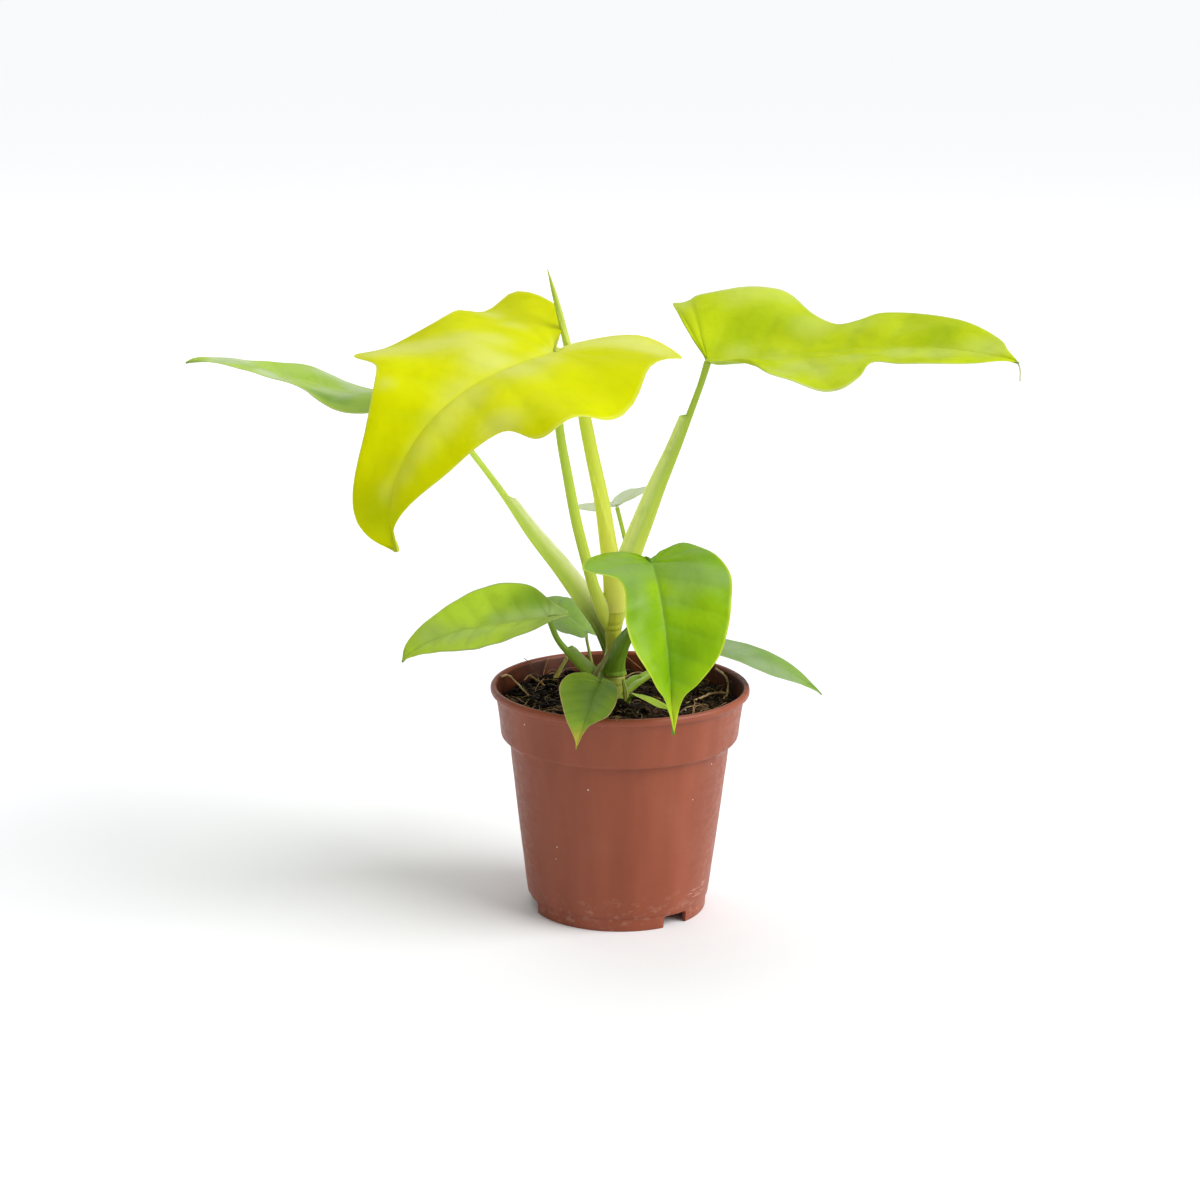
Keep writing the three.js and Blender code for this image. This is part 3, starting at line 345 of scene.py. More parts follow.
def new_finish(name, roughness, ior, gloss=0.5):
    """An empty material with its shader, and Object coordinates in metres."""
    finish = bpy.data.materials.new(name)
    finish.use_nodes = True
    tree = finish.node_tree
    shader = tree.nodes["Principled BSDF"]
    shader.inputs["Roughness"].default_value = roughness
    shader.inputs["IOR"].default_value = ior
    shader.inputs["Specular IOR Level"].default_value = gloss
    return finish, tree, shader, add(tree, "TexCoord")


def scale_of(size):
    """The scale of a pattern whose features are about size millimetres across."""
    return 1 / (size * MM)


def surfaced(tree, shader, colour, *bumps):
    """Gives the shader its colour and its bumps, each a height pattern and its millimetres at most."""
    tree.links.new(colour, shader.inputs["Base Color"])
    below = []
    for pattern, deep in bumps:
        below = [add(tree, "Bump", pattern, deep * MM, *below)]
    tree.links.new(below[0], shader.inputs["Normal"])


def lit_through(tree, shader, colour, share):
    """Lets a share of the light through the tissue, in that colour."""
    back = add(tree, "BsdfTranslucent", colour)
    both = add(tree, "MixShader", share, shader.outputs[0], back)
    tree.links.new(both, tree.nodes["Material Output"].inputs["Surface"])


def blade_finish(name, colours, tip=None, roughness=0.38, through=0.45, gloss=0.1, wax=0.4, patchy=1.0):
    """Living philodendron blade. A waxy skin over translucent tissue: a soft shine that turns pale at a
    low angle, light that comes through, paler midrib and side veins, and a thin clear margin. The
    colours are those of body, lighter patches (fresher green, and on the gold blade painted fill light where
    it turns from the lamps), darker patches, veins, margin, and the pale patches of painted highlight where
    the waxy skin reflects the bright room. tip says where the end of the blade starts and ends its turn to a
    colour of its own, counted in side veins from 10 at the junction, and names that colour."""
    body, fresh_and_painted_fill, deep, vein, edge, painted_highlight = map(linear, colours.split())
    finish, tree, shader, place = new_finish(name, roughness, 1.46, gloss)
    shader.inputs["Coat Weight"].default_value = wax
    shader.inputs["Coat Roughness"].default_value = 0.32
    shader.inputs["Coat IOR"].default_value = 1.33
    number, out = add(tree, "SeparateXYZ", add(tree, "UVMap", uv_map="veins")).node.outputs[:2]
    # Broad patches 35 mm across and mottling 7 mm across, as in a young blade still greening.
    patches = add(tree, "TexNoise", place, scale_of(35), 2.0, 0.5)
    mottle = add(tree, "TexNoise", place, scale_of(7), 4.0, 0.6)
    colour = add(tree, "Mix", add(tree, "MapRange", patches, 0.36, 0.64, 0.0, patchy), body, fresh_and_painted_fill)
    colour = add(tree, "Mix", add(tree, "MapRange", mottle, 0.48, 0.8, 0.0, 0.4), colour, deep)
    # Patches of their own on each blade: lighter ones that are fresher green and on the gold blade painted
    # fill light where it turns from the lamps, darker ones, and pale ones of painted highlight where the waxy
    # skin reflects the bright room.
    for kind, tint in (("fresh_and_painted_fill", fresh_and_painted_fill), ("deep", deep), ("painted_highlight", painted_highlight)):
        cover = add(tree, "Math", add(tree, "Attribute", attribute_name=kind), 0.9)
        colour = add(tree, "Mix", cover, colour, tint)
    # Side veins about 20 mm apart on the large blades, which thin out towards the margin, with finer ones
    # between them.
    away = add(tree, "Math", number, 0.5, operation="PINGPONG")
    narrow = add(tree, "Math", 1.0, out, operation="SUBTRACT")
    side = add(tree, "MapRange", away, 0.0, 0.13, 1.0, 0.0)
    side = add(tree, "Math", side, add(tree, "Math", narrow, 0.7, operation="POWER"))
    fine = add(tree, "Math", add(tree, "Math", number, 8.0), 0.5, operation="PINGPONG")
    fine = add(tree, "MapRange", fine, 0.0, 0.5, 0.06, 0.0)
    rib = add(tree, "MapRange", out, 0.006, 0.07, 1.0, 0.0)
    veins = add(tree, "Math", add(tree, "Math", side, 0.2), add(tree, "Math", rib, 0.55), operation="MAXIMUM")
    veins = add(tree, "Math", veins, fine, operation="MAXIMUM")
    colour = add(tree, "Mix", veins, colour, vein)
    # The flesh just beside each side vein stays a little darker.
    beside = add(tree, "Math", add(tree, "MapRange", away, 0.1, 0.3, 0.12, 0.0), narrow)
    colour = add(tree, "Mix", beside, colour, deep)
    if tip:
        start, end, tip_colour = tip
        colour = add(tree, "Mix", add(tree, "MapRange", number, start, end), colour, linear(tip_colour))
    # The thin clear margin.
    colour = add(tree, "Mix", add(tree, "MapRange", out, 0.955, 0.99), colour, edge)
    # Skin cells are too fine to show, so they are drawn 1.2 mm across.
    cells = add(tree, "TexNoise", place, scale_of(1.2), 2.0, 0.5)
    lumps = add(tree, "TexNoise", place, scale_of(9), 2.0, 0.5)
    surfaced(tree, shader, colour, (lumps, 0.9), (cells, 0.03), (veins, -0.1))
    sheen = add(tree, "MapRange", mottle, 0.3, 0.7, roughness - 0.05, roughness + 0.08)
    tree.links.new(sheen, shader.inputs["Roughness"])
    lit_through(tree, shader, add(tree, "Mix", 0.4, colour, fresh_and_painted_fill), through)
    return finish


def stalk_finish(name, colours, through=0.2, foot=None):
    """Living petiole. A smooth juicy stalk with fine ribs along it: an even sheen broken into soft
    lengthwise streaks, yellower towards its base, and pale thin wings that let the light through. The wings'
    near-white colour is partly their own pale tissue and partly painted light that stands for the light
    shining through them. The colours are those of base, top, wings and streaks. foot is the share of the
    length that is darker at its start, with its colour."""
    base, top, pale, streak = map(linear, colours.split())
    finish, tree, shader, place = new_finish(name, 0.38, 1.45, 0.3)
    lay = add(tree, "UVMap", uv_map="grain")
    length = add(tree, "SeparateXYZ", lay)
    colour = add(tree, "Mix", add(tree, "MapRange", length, 0.0, 0.75), base, top)
    if foot:
        share, foot_colour = foot
        dark_start = add(tree, "MapRange", length, 0.35 * share, share, 1.0, 0.0)
        colour = add(tree, "Mix", dark_start, colour, linear(foot_colour))
    # Ribs 0.5 to 0.8 mm apart run the whole length, drawn as noise that is stretched along it.
    ribs = add(tree, "TexNoise", add(tree, "Mapping", lay, (1.2, 16.0, 1.0)), 1.6, 3.0)
    colour = add(tree, "Mix", add(tree, "MapRange", ribs, 0.42, 0.72, 0.0, 0.55), colour, streak)
    # The wings' near-white colour is partly their own pale tissue, partly painted light for the light shining
    # through them.
    wings = add(tree, "Attribute", attribute_name="pale")
    colour = add(tree, "Mix", add(tree, "Math", wings, 0.85), colour, pale)
    blotches = add(tree, "TexNoise", place, scale_of(5), 3.0, 0.5)
    colour = add(tree, "Mix", add(tree, "MapRange", blotches, 0.5, 0.8, 0.0, 0.3), colour, streak)
    surfaced(tree, shader, colour, (ribs, 0.02))
    share = add(tree, "Math", wings, 0.5, through, operation="MULTIPLY_ADD")
    lit_through(tree, shader, colour, share)
    return finish


# Where the pot was knocked, in metres.
KNOCK_PLACE = (0.0512, -0.0285, 0.0155)


def polypropylene(name, colours, soiled=False):
    """Injection-moulded polypropylene in terracotta brown. The polished mould gives an even satin skin
    with faint upright flow streaks; handling leaves pale specks, rubbed dust at the foot and scratches.
    The colours are those of streaks, darker streaks and dusty clouds."""
    warm, dark, dusty = map(linear, colours.split())
    finish, tree, shader, place = new_finish(name, 0.42, 1.49, 0.35)
    upright = add(tree, "Mapping", place, (1.0, 1.0, 0.06))
    streaks = add(tree, "TexNoise", upright, scale_of(13), 2.0, 0.5)
    colour = add(tree, "Mix", add(tree, "MapRange", streaks, 0.3, 0.7), dark, warm)
    clouds = add(tree, "TexNoise", place, scale_of(26), 3.0, 0.55)
    colour = add(tree, "Mix", add(tree, "MapRange", clouds, 0.5, 0.8, 0.0, 0.2), colour, dusty)
    height = add(tree, "SeparateXYZ", place).node.outputs[2]
    # Dust and rubbed marks up to 24 mm from the floor.
    rub = add(tree, "TexNoise", add(tree, "Mapping", place, (1.0, 1.0, 1.6)), scale_of(4.5), 5.0, 0.65)
    foot = add(tree, "MapRange", height, 4 * MM, 24 * MM, 1.0, 0.0)
    dust = add(tree, "Math", add(tree, "MapRange", rub, 0.5, 0.72), foot)
    colour = add(tree, "Mix", add(tree, "Math", dust, 0.27), colour, linear("#C9A493"))
    # Pale specks 0.6 mm across, one in some of the 7 mm cells.
    cells = add(tree, "TexVoronoi", place, scale_of(7))
    chance = add(tree, "SeparateColor", cells.node.outputs["Color"])
    speck = add(tree, "MapRange", cells, 0.035, 0.06, 1.0, 0.0)
    some = add(tree, "Math", speck, add(tree, "MapRange", chance, 0.66, 0.7))
    colour = add(tree, "Mix", some, colour, linear("#E6CFC2"))
    # Short slanting scratches, drawn 0.5 mm wide, kept to the lower right where such a pot is knocked.
    slanted = add(tree, "Mapping", place, (1, 1, 14), (0.2, -0.9, 0.3))
    lines = add(tree, "TexNoise", slanted, 90.0, 2.0)
    knock = add(tree, "VectorMath", place, KNOCK_PLACE, operation="DISTANCE").node
    patch = add(tree, "MapRange", knock.outputs["Value"], 3 * MM, 10 * MM, 1.0, 0.0)
    scratch = add(tree, "Math", add(tree, "MapRange", lines, 0.62, 0.68), patch)
    colour = add(tree, "Mix", add(tree, "Math", scratch, 0.75), colour, linear("#E2C3B4"))
    if soiled:
        drawn = add(tree, "Mapping", place, (1.0, 1.0, 0.5))
        smear = add(tree, "MapRange", add(tree, "TexNoise", drawn, scale_of(6), 5.0, 0.6), 0.4, 0.62)
        low = add(tree, "MapRange", height, 97 * MM, 106.5 * MM, 1.0, 0.25)
        colour = add(tree, "Mix", add(tree, "Math", smear, low), colour, linear("#2A1811"))
    tree.links.new(add(tree, "MapRange", rub, 0.3, 0.75, 0.36, 0.56), shader.inputs["Roughness"])
    skin = add(tree, "TexNoise", place, scale_of(0.9), 3.0, 0.6)
    surfaced(tree, shader, colour, (streaks, 0.12), (skin, 0.015))
    return finish


def peat(name, colours):
    """Peat potting mix. Damp fibrous crumbs: almost black in the hollows and warm brown on the tops, partly
    the mix's own tone and partly painted shade in the hollows and painted light on the tops, no shine but for
    the odd damp face. The colours are those of hollows, dry crumbs and damp ones."""
    dark, light, damp = map(linear, colours.split())
    finish, tree, shader, place = new_finish(name, 0.9, 1.4, 0.15)
    lumps = add(tree, "TexNoise", place, scale_of(5), 6.0, 0.65)
    fine = add(tree, "TexNoise", place, scale_of(0.9), 4.0, 0.6)
    # Dark in the hollows of the lumps and light on their tops: partly the mix's own tone, partly painted
    # shade and painted light.
    colour = add(tree, "Mix", add(tree, "MapRange", lumps, 0.4, 0.68), dark, light)
    colour = add(tree, "Mix", add(tree, "MapRange", fine, 0.35, 0.7, 0.0, 0.55), colour, damp)
    # Painted shade: the mix is darker towards the left, where it lies in shade.
    painted_left_shade = add(tree, "MapRange", add(tree, "SeparateXYZ", place), 0.0, 45 * MM, 0.85, 0.0)
    colour = add(tree, "Mix", painted_left_shade, colour, linear("#3C3836"), blend_type="MULTIPLY")
    surfaced(tree, shader, colour, (lumps, 1.2), (fine, 0.5))
    tree.links.new(add(tree, "MapRange", lumps, 0.3, 0.6, 0.55, 0.95), shader.inputs["Roughness"])
    return finish


def fibre(name, colours, size=9.0):
    """Plant fibre and root skin. Dull and slightly hairy, its colour changing along each strand, from
    dark to light over size millimetres."""
    dark, light = map(linear, colours.split())
    finish, tree, shader, place = new_finish(name, 0.72, 1.45)
    shift = add(tree, "TexNoise", place, scale_of(size), 2.0, 0.5)
    colour = add(tree, "Mix", add(tree, "MapRange", shift, 0.36, 0.64), dark, light)
    fine = add(tree, "TexNoise", place, scale_of(0.8), 3.0, 0.6)
    colour = add(tree, "Mix", add(tree, "MapRange", fine, 0.5, 0.8, 0.0, 0.5), colour, dark)
    surfaced(tree, shader, colour, (fine, 0.15))
    return finish


def perlite(name):
    """Expanded perlite. White volcanic glass foam: bright chalky grains with tiny pits."""
    finish, tree, shader, place = new_finish(name, 0.85, 1.5)
    pits = add(tree, "TexNoise", place, scale_of(0.7), 3.0, 0.6)
    colour = add(tree, "Mix", add(tree, "MapRange", pits, 0.35, 0.7), linear("#B7AE9F"), linear("#F1ECE2"))
    surfaced(tree, shader, colour, (pits, 0.3))
    return finish


# Each blade's colours: body, a lighter one (fresher green, and on the gold blade painted fill light), a
# darker one, veins, margin, and the pale painted highlight.
gold_skin = blade_finish("philodendron_blade_gold", "#E2E400 #F8FA00 #CAD800 #E8EA3C #E6E85A #EEF0A0",
    through=0.52, gloss=0.03, wax=0.03, patchy=0.1)
gold_under = blade_finish("philodendron_underside_gold", "#D2DB30 #DCE348 #C2CF2A #E3EB88 #E2E68E #DCE388",
    roughness=0.5)
lime_skin = blade_finish("philodendron_blade_lime", "#D0DE08 #DAE61C #A8C600 #D8E450 #DAE28C #DAE488",
    gloss=0.05, wax=0.14)
lime_under = blade_finish("philodendron_underside_lime", "#BAD03A #C8DA52 #A4C034 #D5E28A #D2DC8E #CBDC8C",
    roughness=0.5)
green_skin = blade_finish("philodendron_blade_green", "#AACA44 #BAD654 #7EAC18 #C8DE82 #CCDA88 #D2DEBE",
    through=0.36)
green_under = blade_finish("philodendron_underside_green", "#A8C668 #B6D078 #8EB254 #C2D698 #C4D48C #BCD0A2",
    roughness=0.52)
low_skin = blade_finish("philodendron_blade_low", "#B6D248 #D8F44C #84B02C #C6DC74 #C0D288 #BCD692",
    through=0.36)
low_under = blade_finish("philodendron_underside_low", "#A6BE5C #B6CC6C #86A648 #BED08C #C4D48C #B4CA92",
    roughness=0.52)
heart_skin = blade_finish("philodendron_blade_heart", "#82B400 #9EC802 #6A9C00 #92BA48 #C4D838 #92B466",
    (14.8, 16.9, "#BFD22A"), roughness=0.32, through=0.3)
heart_under = blade_finish("philodendron_underside_heart", "#76A034 #8AB444 #5E8B2A #A6C46C #C0D05C #9ABA6C",
    roughness=0.52, through=0.3)
soft_skin = blade_finish("philodendron_blade_soft", "#90AF66 #94B850 #789E52 #AEC68A #B4C898 #AEC29E",
    roughness=0.42, through=0.3)
soft_under = blade_finish("philodendron_underside_soft", "#92AE7C #A2BC8C #80A06C #B2C69A #BCCEA0 #B4C6A4",
    roughness=0.55, through=0.3)
rear_skin = blade_finish("philodendron_blade_rear", "#E4EED2 #EAF0DA #D4E2BE #ECF2DE #E8F0D2 #E8F0DE",
    roughness=0.5, through=0.5)
rim_skin = blade_finish("philodendron_blade_small", "#7AA03E #A6C640 #668C3C #90AE56 #DCC884 #88A86C",
    (14.2, 16.4, "#D2C44A"), roughness=0.4, through=0.25)
rim_under = blade_finish("philodendron_underside_small", "#7C9648 #8EA558 #6C863C #9FB470 #CBBE70 #8CA470",
    roughness=0.52, through=0.22)
young_skin = blade_finish("philodendron_blade_young", "#A6C824 #BAD43A #8CB01C #C6DC66 #D0DA70 #BCD470",
    through=0.36)

lime_stalk = stalk_finish("petiole_lime", "#E4EC62 #C6DA54 #FCFED2 #B4D04C", 0.36)
left_stalk = stalk_finish("petiole_lime_left", "#F2FA86 #E4F288 #FFFFF2 #D8EC7C", 0.5, (0.27, "#7C9228"))
yellow_stalk = stalk_finish("petiole_sheath_yellow", "#F4F474 #E0EA62 #F8F6C4 #ECEC70", 0.46)
stem_stalk = stalk_finish("stem_lime", "#98A04A #BCC032 #E8ECC0 #A4A82E", 0.18)
green_stalk = stalk_finish("petiole_green", "#A6C444 #98BA40 #D6E4A4 #7FA634")
dark_stalk = stalk_finish("petiole_sheath_green", "#7E9E2A #6C982A #BDD48A #4C7A18", 0.16)
bronze_stalk = stalk_finish("shoot_bronze", "#A38446 #8C9A40 #C8B880 #7E7436", 0.12)
spear_stalk = stalk_finish("rolled_new_leaf", "#D6E240 #CCDC62 #E9EDA4 #B9CC40", 0.32)
dry_tissue = stalk_finish("dry_sheath_tissue", "#98984E #B4B470 #DCD8A8 #7A7640", 0.25)
stub_tissue = stalk_finish("dry_stub_tissue", "#C2AC56 #B9B45C #DCD29A #A08C48", 0.15)

pot_outside = polypropylene("polypropylene_terracotta", "#90492F #854128 #9A5C46")
# The inside is the same plastic in darker colours, as painted shade within the pot, with soil smeared on it
# near the mix.
pot_inside_shaded = polypropylene("polypropylene_terracotta_shaded_soiled", "#6C3012 #58260E #6C3E22", soiled=True)
peat_mix = peat("peat_potting_mix", "#0C0704 #38261A #1C120B")
peat_crumb = peat("peat_crumb", "#120B06 #503C28 #281A10")
dark_fibre = fibre("peat_fibre_dark", "#23150C #4A3220")
tan_fibre = fibre("peat_fibre_tan", "#6A4A2C #BC9868")
dried_tip = fibre("dried_blade_tip", "#8C9A5C #B6BE88", 4.0)
root_skin = fibre("root_skin_tan", "#8E6A40 #C9A878", 14.0)
moss_bit = fibre("moss_bit", "#43511E #7A8A34", 3.0)
white_grain = perlite("perlite_grain")

# Curves and places


def placed(points):
    """Points in millimetres from the pot's axis, as metres in the row frame."""
    return (np.asarray(points, float) + (*POT_AXIS, 0)) * MM


def off_axis(point):
    """A mesh point's x and y in millimetres from the pot's axis."""
    return point.x / MM - POT_AXIS[0], point.y / MM - POT_AXIS[1]


def spline(padded, at):
    """The smooth curve at places along padded, a list that has one more point beyond each end."""
    i = np.minimum(at.astype(int), len(padded) - 4)
    f = (at - i)[:, None]
    a, b, c, d = (padded[i + k] for k in range(4))
    return 0.5 * (2 * b + (c - a) * f + (2 * a - 5 * b + 4 * c - d) * f**2 + (3 * b - a - 3 * c + d) * f**3)


def smooth_curve(points, shares):
    """Points of the smooth curve through the given points, at shares of the way along their list."""
    p = np.asarray(points, float)
    padded = np.vstack([2 * p[0] - p[1], p, 2 * p[-1] - p[-2]])
    return spline(padded, np.clip(np.asarray(shares, float), 0, 1) * (len(p) - 1))


def smooth_values(values, shares):
    """The same curve through a list of single numbers."""
    return smooth_curve(np.asarray(values, float)[:, None], shares)[:, 0]


def unit(vectors):
    return vectors / np.maximum(np.linalg.norm(vectors, axis=-1, keepdims=True), 1e-9)


def smoothstep(low, high, value):
    share = np.clip((value - low) / (high - low), 0, 1)
    return share * share * (3 - 2 * share)


def course(path, stations, face):
    """Even shares of a path, its points there, the directions square to it nearest to face, and those
    across both."""
    t = np.linspace(0, 1, stations)
    line = smooth_curve(path, t)
    along = unit(np.gradient(line, axis=0))
    face = np.asarray(face, float)
    up = unit(face - along * (along @ face)[:, None])
    return t, line, up, np.cross(along, up)


# Pieces


def deselect():
    bpy.ops.object.select_all(action="DESELECT")


def laid(name, places):
    """A grid primitive moved to places, with the column and the row of each of its vertices."""
    deselect()
    last = (places.shape[0] - 1, places.shape[1] - 1)
    bpy.ops.mesh.primitive_grid_add(x_subdivisions=last[0], y_subdivisions=last[1], size=2)
    piece = bpy.context.object
    piece.name = piece.data.name = name
    flat = np.zeros(len(piece.data.vertices) * 3)
    piece.data.vertices.foreach_get("co", flat)
    share = (flat.reshape(-1, 3)[:, :2] + 1) / 2
    columns, lines = np.rint(share * last).astype(int).T
    piece.data.vertices.foreach_set("co", placed(places[columns, lines]).ravel())
    return piece, columns, lines


def mapped(piece, name, along, across):
    """Names the piece's map and fills it from two values a vertex."""
    lay = piece.data.uv_layers.active
    lay.name = name
    corners = [loop.vertex_index for loop in piece.data.loops]
    lay.data.foreach_set("uv", np.stack([along[corners], across[corners]], -1).ravel())


def painted(piece, name, values):
    """Gives the piece a named value at each vertex, which its material reads."""
    piece.data.attributes.new(name, "FLOAT", "POINT").data.foreach_set("value", values)


def merge(piece, closed):
    """Merges the vertices that fell together, and closes the ends of a tube."""
    bpy.context.view_layer.objects.active = piece
    bpy.ops.object.mode_set(mode="EDIT")
    bpy.ops.mesh.select_all(action="SELECT")
    bpy.ops.mesh.remove_doubles(threshold=1e-6)
    bpy.ops.mesh.dissolve_degenerate(threshold=1e-7)
    if closed:
        bpy.ops.mesh.select_all(action="DESELECT")
        bpy.ops.mesh.select_non_manifold()
        bpy.ops.mesh.fill_holes(sides=0)
        bpy.ops.mesh.select_all(action="SELECT")
        bpy.ops.mesh.normals_make_consistent(inside=False)
    bpy.ops.object.mode_set(mode="OBJECT")


def thicken(piece, thickness, **settings):
    """Turns a sheet into a closed body of that thickness in millimetres."""
    thick = piece.modifiers.new("body", "SOLIDIFY")
    thick.thickness = thickness * MM
    for name, setting in settings.items():
        setattr(thick, name, setting)
    bpy.ops.object.modifier_apply(modifier="body")


def settle(piece, slot, *nodes, sharp=60):
    """Shades a finished piece smooth where it bends less than sharp degrees, and hands it to the frame, in
    the place of the nodes that it stands for."""
    deselect()
    piece.select_set(True)
    bpy.context.view_layer.objects.active = piece
    bpy.ops.object.shade_smooth_by_angle(angle=math.radians(sharp))
    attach(piece, "root")
    if nodes:
        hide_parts(*nodes)


def turned(name, profile, segments):
    """A circle drawn out ring by ring through a profile of (radius, height), closed at both ends."""
    deselect()
    radius, height = profile[0]
    centre = Vector(placed((0, 0, height)))
    bpy.ops.mesh.primitive_circle_add(vertices=segments, radius=radius * MM, location=centre)
    piece = bpy.context.object
    piece.name = piece.data.name = name
    bpy.ops.object.mode_set(mode="EDIT")
    bpy.ops.mesh.select_all(action="SELECT")
    bpy.ops.mesh.edge_face_add()
    for new_radius, new_height in profile[1:]:
        rise = (0, 0, (new_height - height) * MM)
        bpy.ops.mesh.extrude_edges_move(TRANSFORM_OT_translate={"value": rise})
        grown = new_radius / radius
        centre = Vector(placed((0, 0, new_height)))
        bpy.ops.transform.resize(value=(grown, grown, 1), center_override=centre)
        radius, height = new_radius, new_height
    bpy.ops.mesh.edge_face_add()
    bpy.ops.mesh.select_all(action="SELECT")
    bpy.ops.mesh.normals_make_consistent(inside=False)
    bpy.ops.object.mode_set(mode="OBJECT")
    bpy.ops.object.transform_apply(location=True, rotation=True, scale=True)
    return piece


def cut(piece, cutters):
    """Cuts each cutter out of a piece with a boolean and removes it."""
    for cutter in cutters:
        bpy.context.view_layer.objects.active = piece
        boolean = piece.modifiers.new("cut", "BOOLEAN")
        boolean.operation = "DIFFERENCE"
        boolean.solver = "EXACT"
        boolean.object = cutter
        bpy.ops.object.modifier_apply(modifier="cut")
        bpy.data.objects.remove(cutter)


# Leaf blades

# How far a side vein leans to the tip for each millimetre that it runs out from the midrib.
VEIN_SLANT = 0.35
# Side veins in each half, behind the junction and ahead of it.
LOBE_VEINS = 4
BLADE_VEINS = 7
# How far the midrib's line carries on into the lobes, as a share of the length.
LOBE_REACH = 0.5
# Rows of vertices from the midrib (0) out to the margin (1).
OUT_ROWS = (0, 0.015, 0.035, 0.07, 0.13, 0.21, 0.31, 0.42, 0.54, 0.66, 0.77, 0.87, 0.94, 0.985, 1)
# A large blade in millimetres: its thickness on the keel, the widths of the keel and of the groove over
# it, how full the tissue stands between side veins, and the height and size of its slow swells.
KEEL_DEPTH = 1.9
KEEL_WIDTH = 1.9
GROOVE_WIDTH = 1.5
FULLNESS = 1.2
SWELL = 2.6
SWELL_SIZE = 26
# A blade with a half width under this is smaller in all of these.
LARGE_HALF_WIDTH = 30
# A half whose table says nothing about its wave has a still margin.
STILL = (0, 1, 0)


def midrib(leaf, t):
    """The midrib's points and its across and normal directions at shares t, below zero in the lobes."""
    steps = 24

    def direction(at):
        p = np.clip(at, 0, 1)
        heading = np.radians(leaf["heading"][0] + leaf["heading"][1] * p)
        base, middle, tip = leaf["pitch"]
        pitch = base * (1 - p) * (1 - 2 * p) + middle * 4 * p * (1 - p) + tip * p * (2 * p - 1)
        pitch = np.radians(pitch + leaf.get("lobe_pitch", 0) * 2 * np.clip(-at, 0, 1))
        level = np.cos(pitch)
        along = np.stack([level * np.cos(heading), level * np.sin(heading), np.sin(pitch)], -1)
        side = np.stack([-np.sin(heading), np.cos(heading), 0 * heading], -1)
        roll = np.radians(leaf["roll"][0] + leaf["roll"][1] * p)[..., None]
        return along, side, roll

    middles = (np.arange(steps) + 0.5) / steps
    ahead = np.cumsum(direction(middles)[0] * leaf["length"] / steps, axis=0)
    behind = np.cumsum(direction(-LOBE_REACH * middles)[0] * -LOBE_REACH * leaf["length"] / steps, axis=0)
    line = np.vstack([behind[::-1], (0, 0, 0), ahead]) + leaf["at"]
    shares = np.concatenate([-LOBE_REACH * np.arange(steps, 0, -1) / steps, np.arange(steps + 1) / steps])
    place = np.stack([np.interp(t, shares, line[:, k]) for k in range(3)], -1)
    along, side, roll = direction(t)
    up = np.cross(along, side)
    return place, side * np.cos(roll) + up * np.sin(roll), up * np.cos(roll) - side * np.sin(roll)


def blade_points(leaf, half, hand, u, v):
    """Points of one half of the blade, left (1) or right (-1): u along the midrib and v out from it."""
    t = np.clip(u / leaf["length"], -LOBE_REACH, 1)
    place, across, normal = midrib(leaf, t)
    fold = np.radians(half["fold"][0] + half["fold"][1] * t)
    curl = np.radians(half["curl"][0] + half["curl"][1] * t) / leaf["half_width"]
    curl = np.where(np.abs(curl) < 1e-6, 1e-6, curl)
    out = (np.sin(fold + curl * v) - np.sin(fold)) / curl
    height, waves, phase = half.get("wave", STILL)
    ripple = height * (v / leaf["half_width"]) ** 2 * np.sin(2 * np.pi * waves * t + np.radians(phase))
    rise = (np.cos(fold) - np.cos(fold + curl * v)) / curl + ripple
    return place + across * (hand * out)[..., None] + normal * rise[..., None]


def margin_of(leaf, half, s):
    """The margin's flat points that the side veins leaving the midrib at shares s run out to. Their
    spacing along the margin is smoothed, with a share that is steady from the junction to the tip."""
    samples, window, steady_share = 801, 61, 0.15
    shares = np.linspace(0, 1, samples)
    flat = smooth_curve(half["outline"], shares)
    reach = np.maximum.accumulate(flat[:, 0] - VEIN_SLANT * flat[:, 1])
    start = np.flatnonzero(reach <= 0.5)[-1]
    blade = reach[start:] - reach[start]
    blade = blade * leaf["length"] / blade[-1]
    padded = np.pad(blade, window // 2, mode="edge")
    blade = np.convolve(padded, np.ones(window) / window, mode="valid")
    steady = np.linspace(0, leaf["length"], len(blade))
    blade = (blade - blade[0]) * leaf["length"] / (blade[-1] - blade[0])
    blade = (1 - steady_share) * blade + steady_share * steady
    share = np.where(s < 0, shares[start] * (1 + s), np.interp(s * leaf["length"], blade, shares[start:]))
    return smooth_curve(half["outline"], share)


def patch_share(patches, u, v):
    """How far the soft patches of the table cover places of the flat blade."""
    clear = np.ones_like(u)
    for along, out, reach, strength in patches:
        clear *= 1 - strength * np.exp(-1.4 * (((u - along) ** 2 + (v - out) ** 2) / reach**2) ** 1.5)
    return 1 - clear


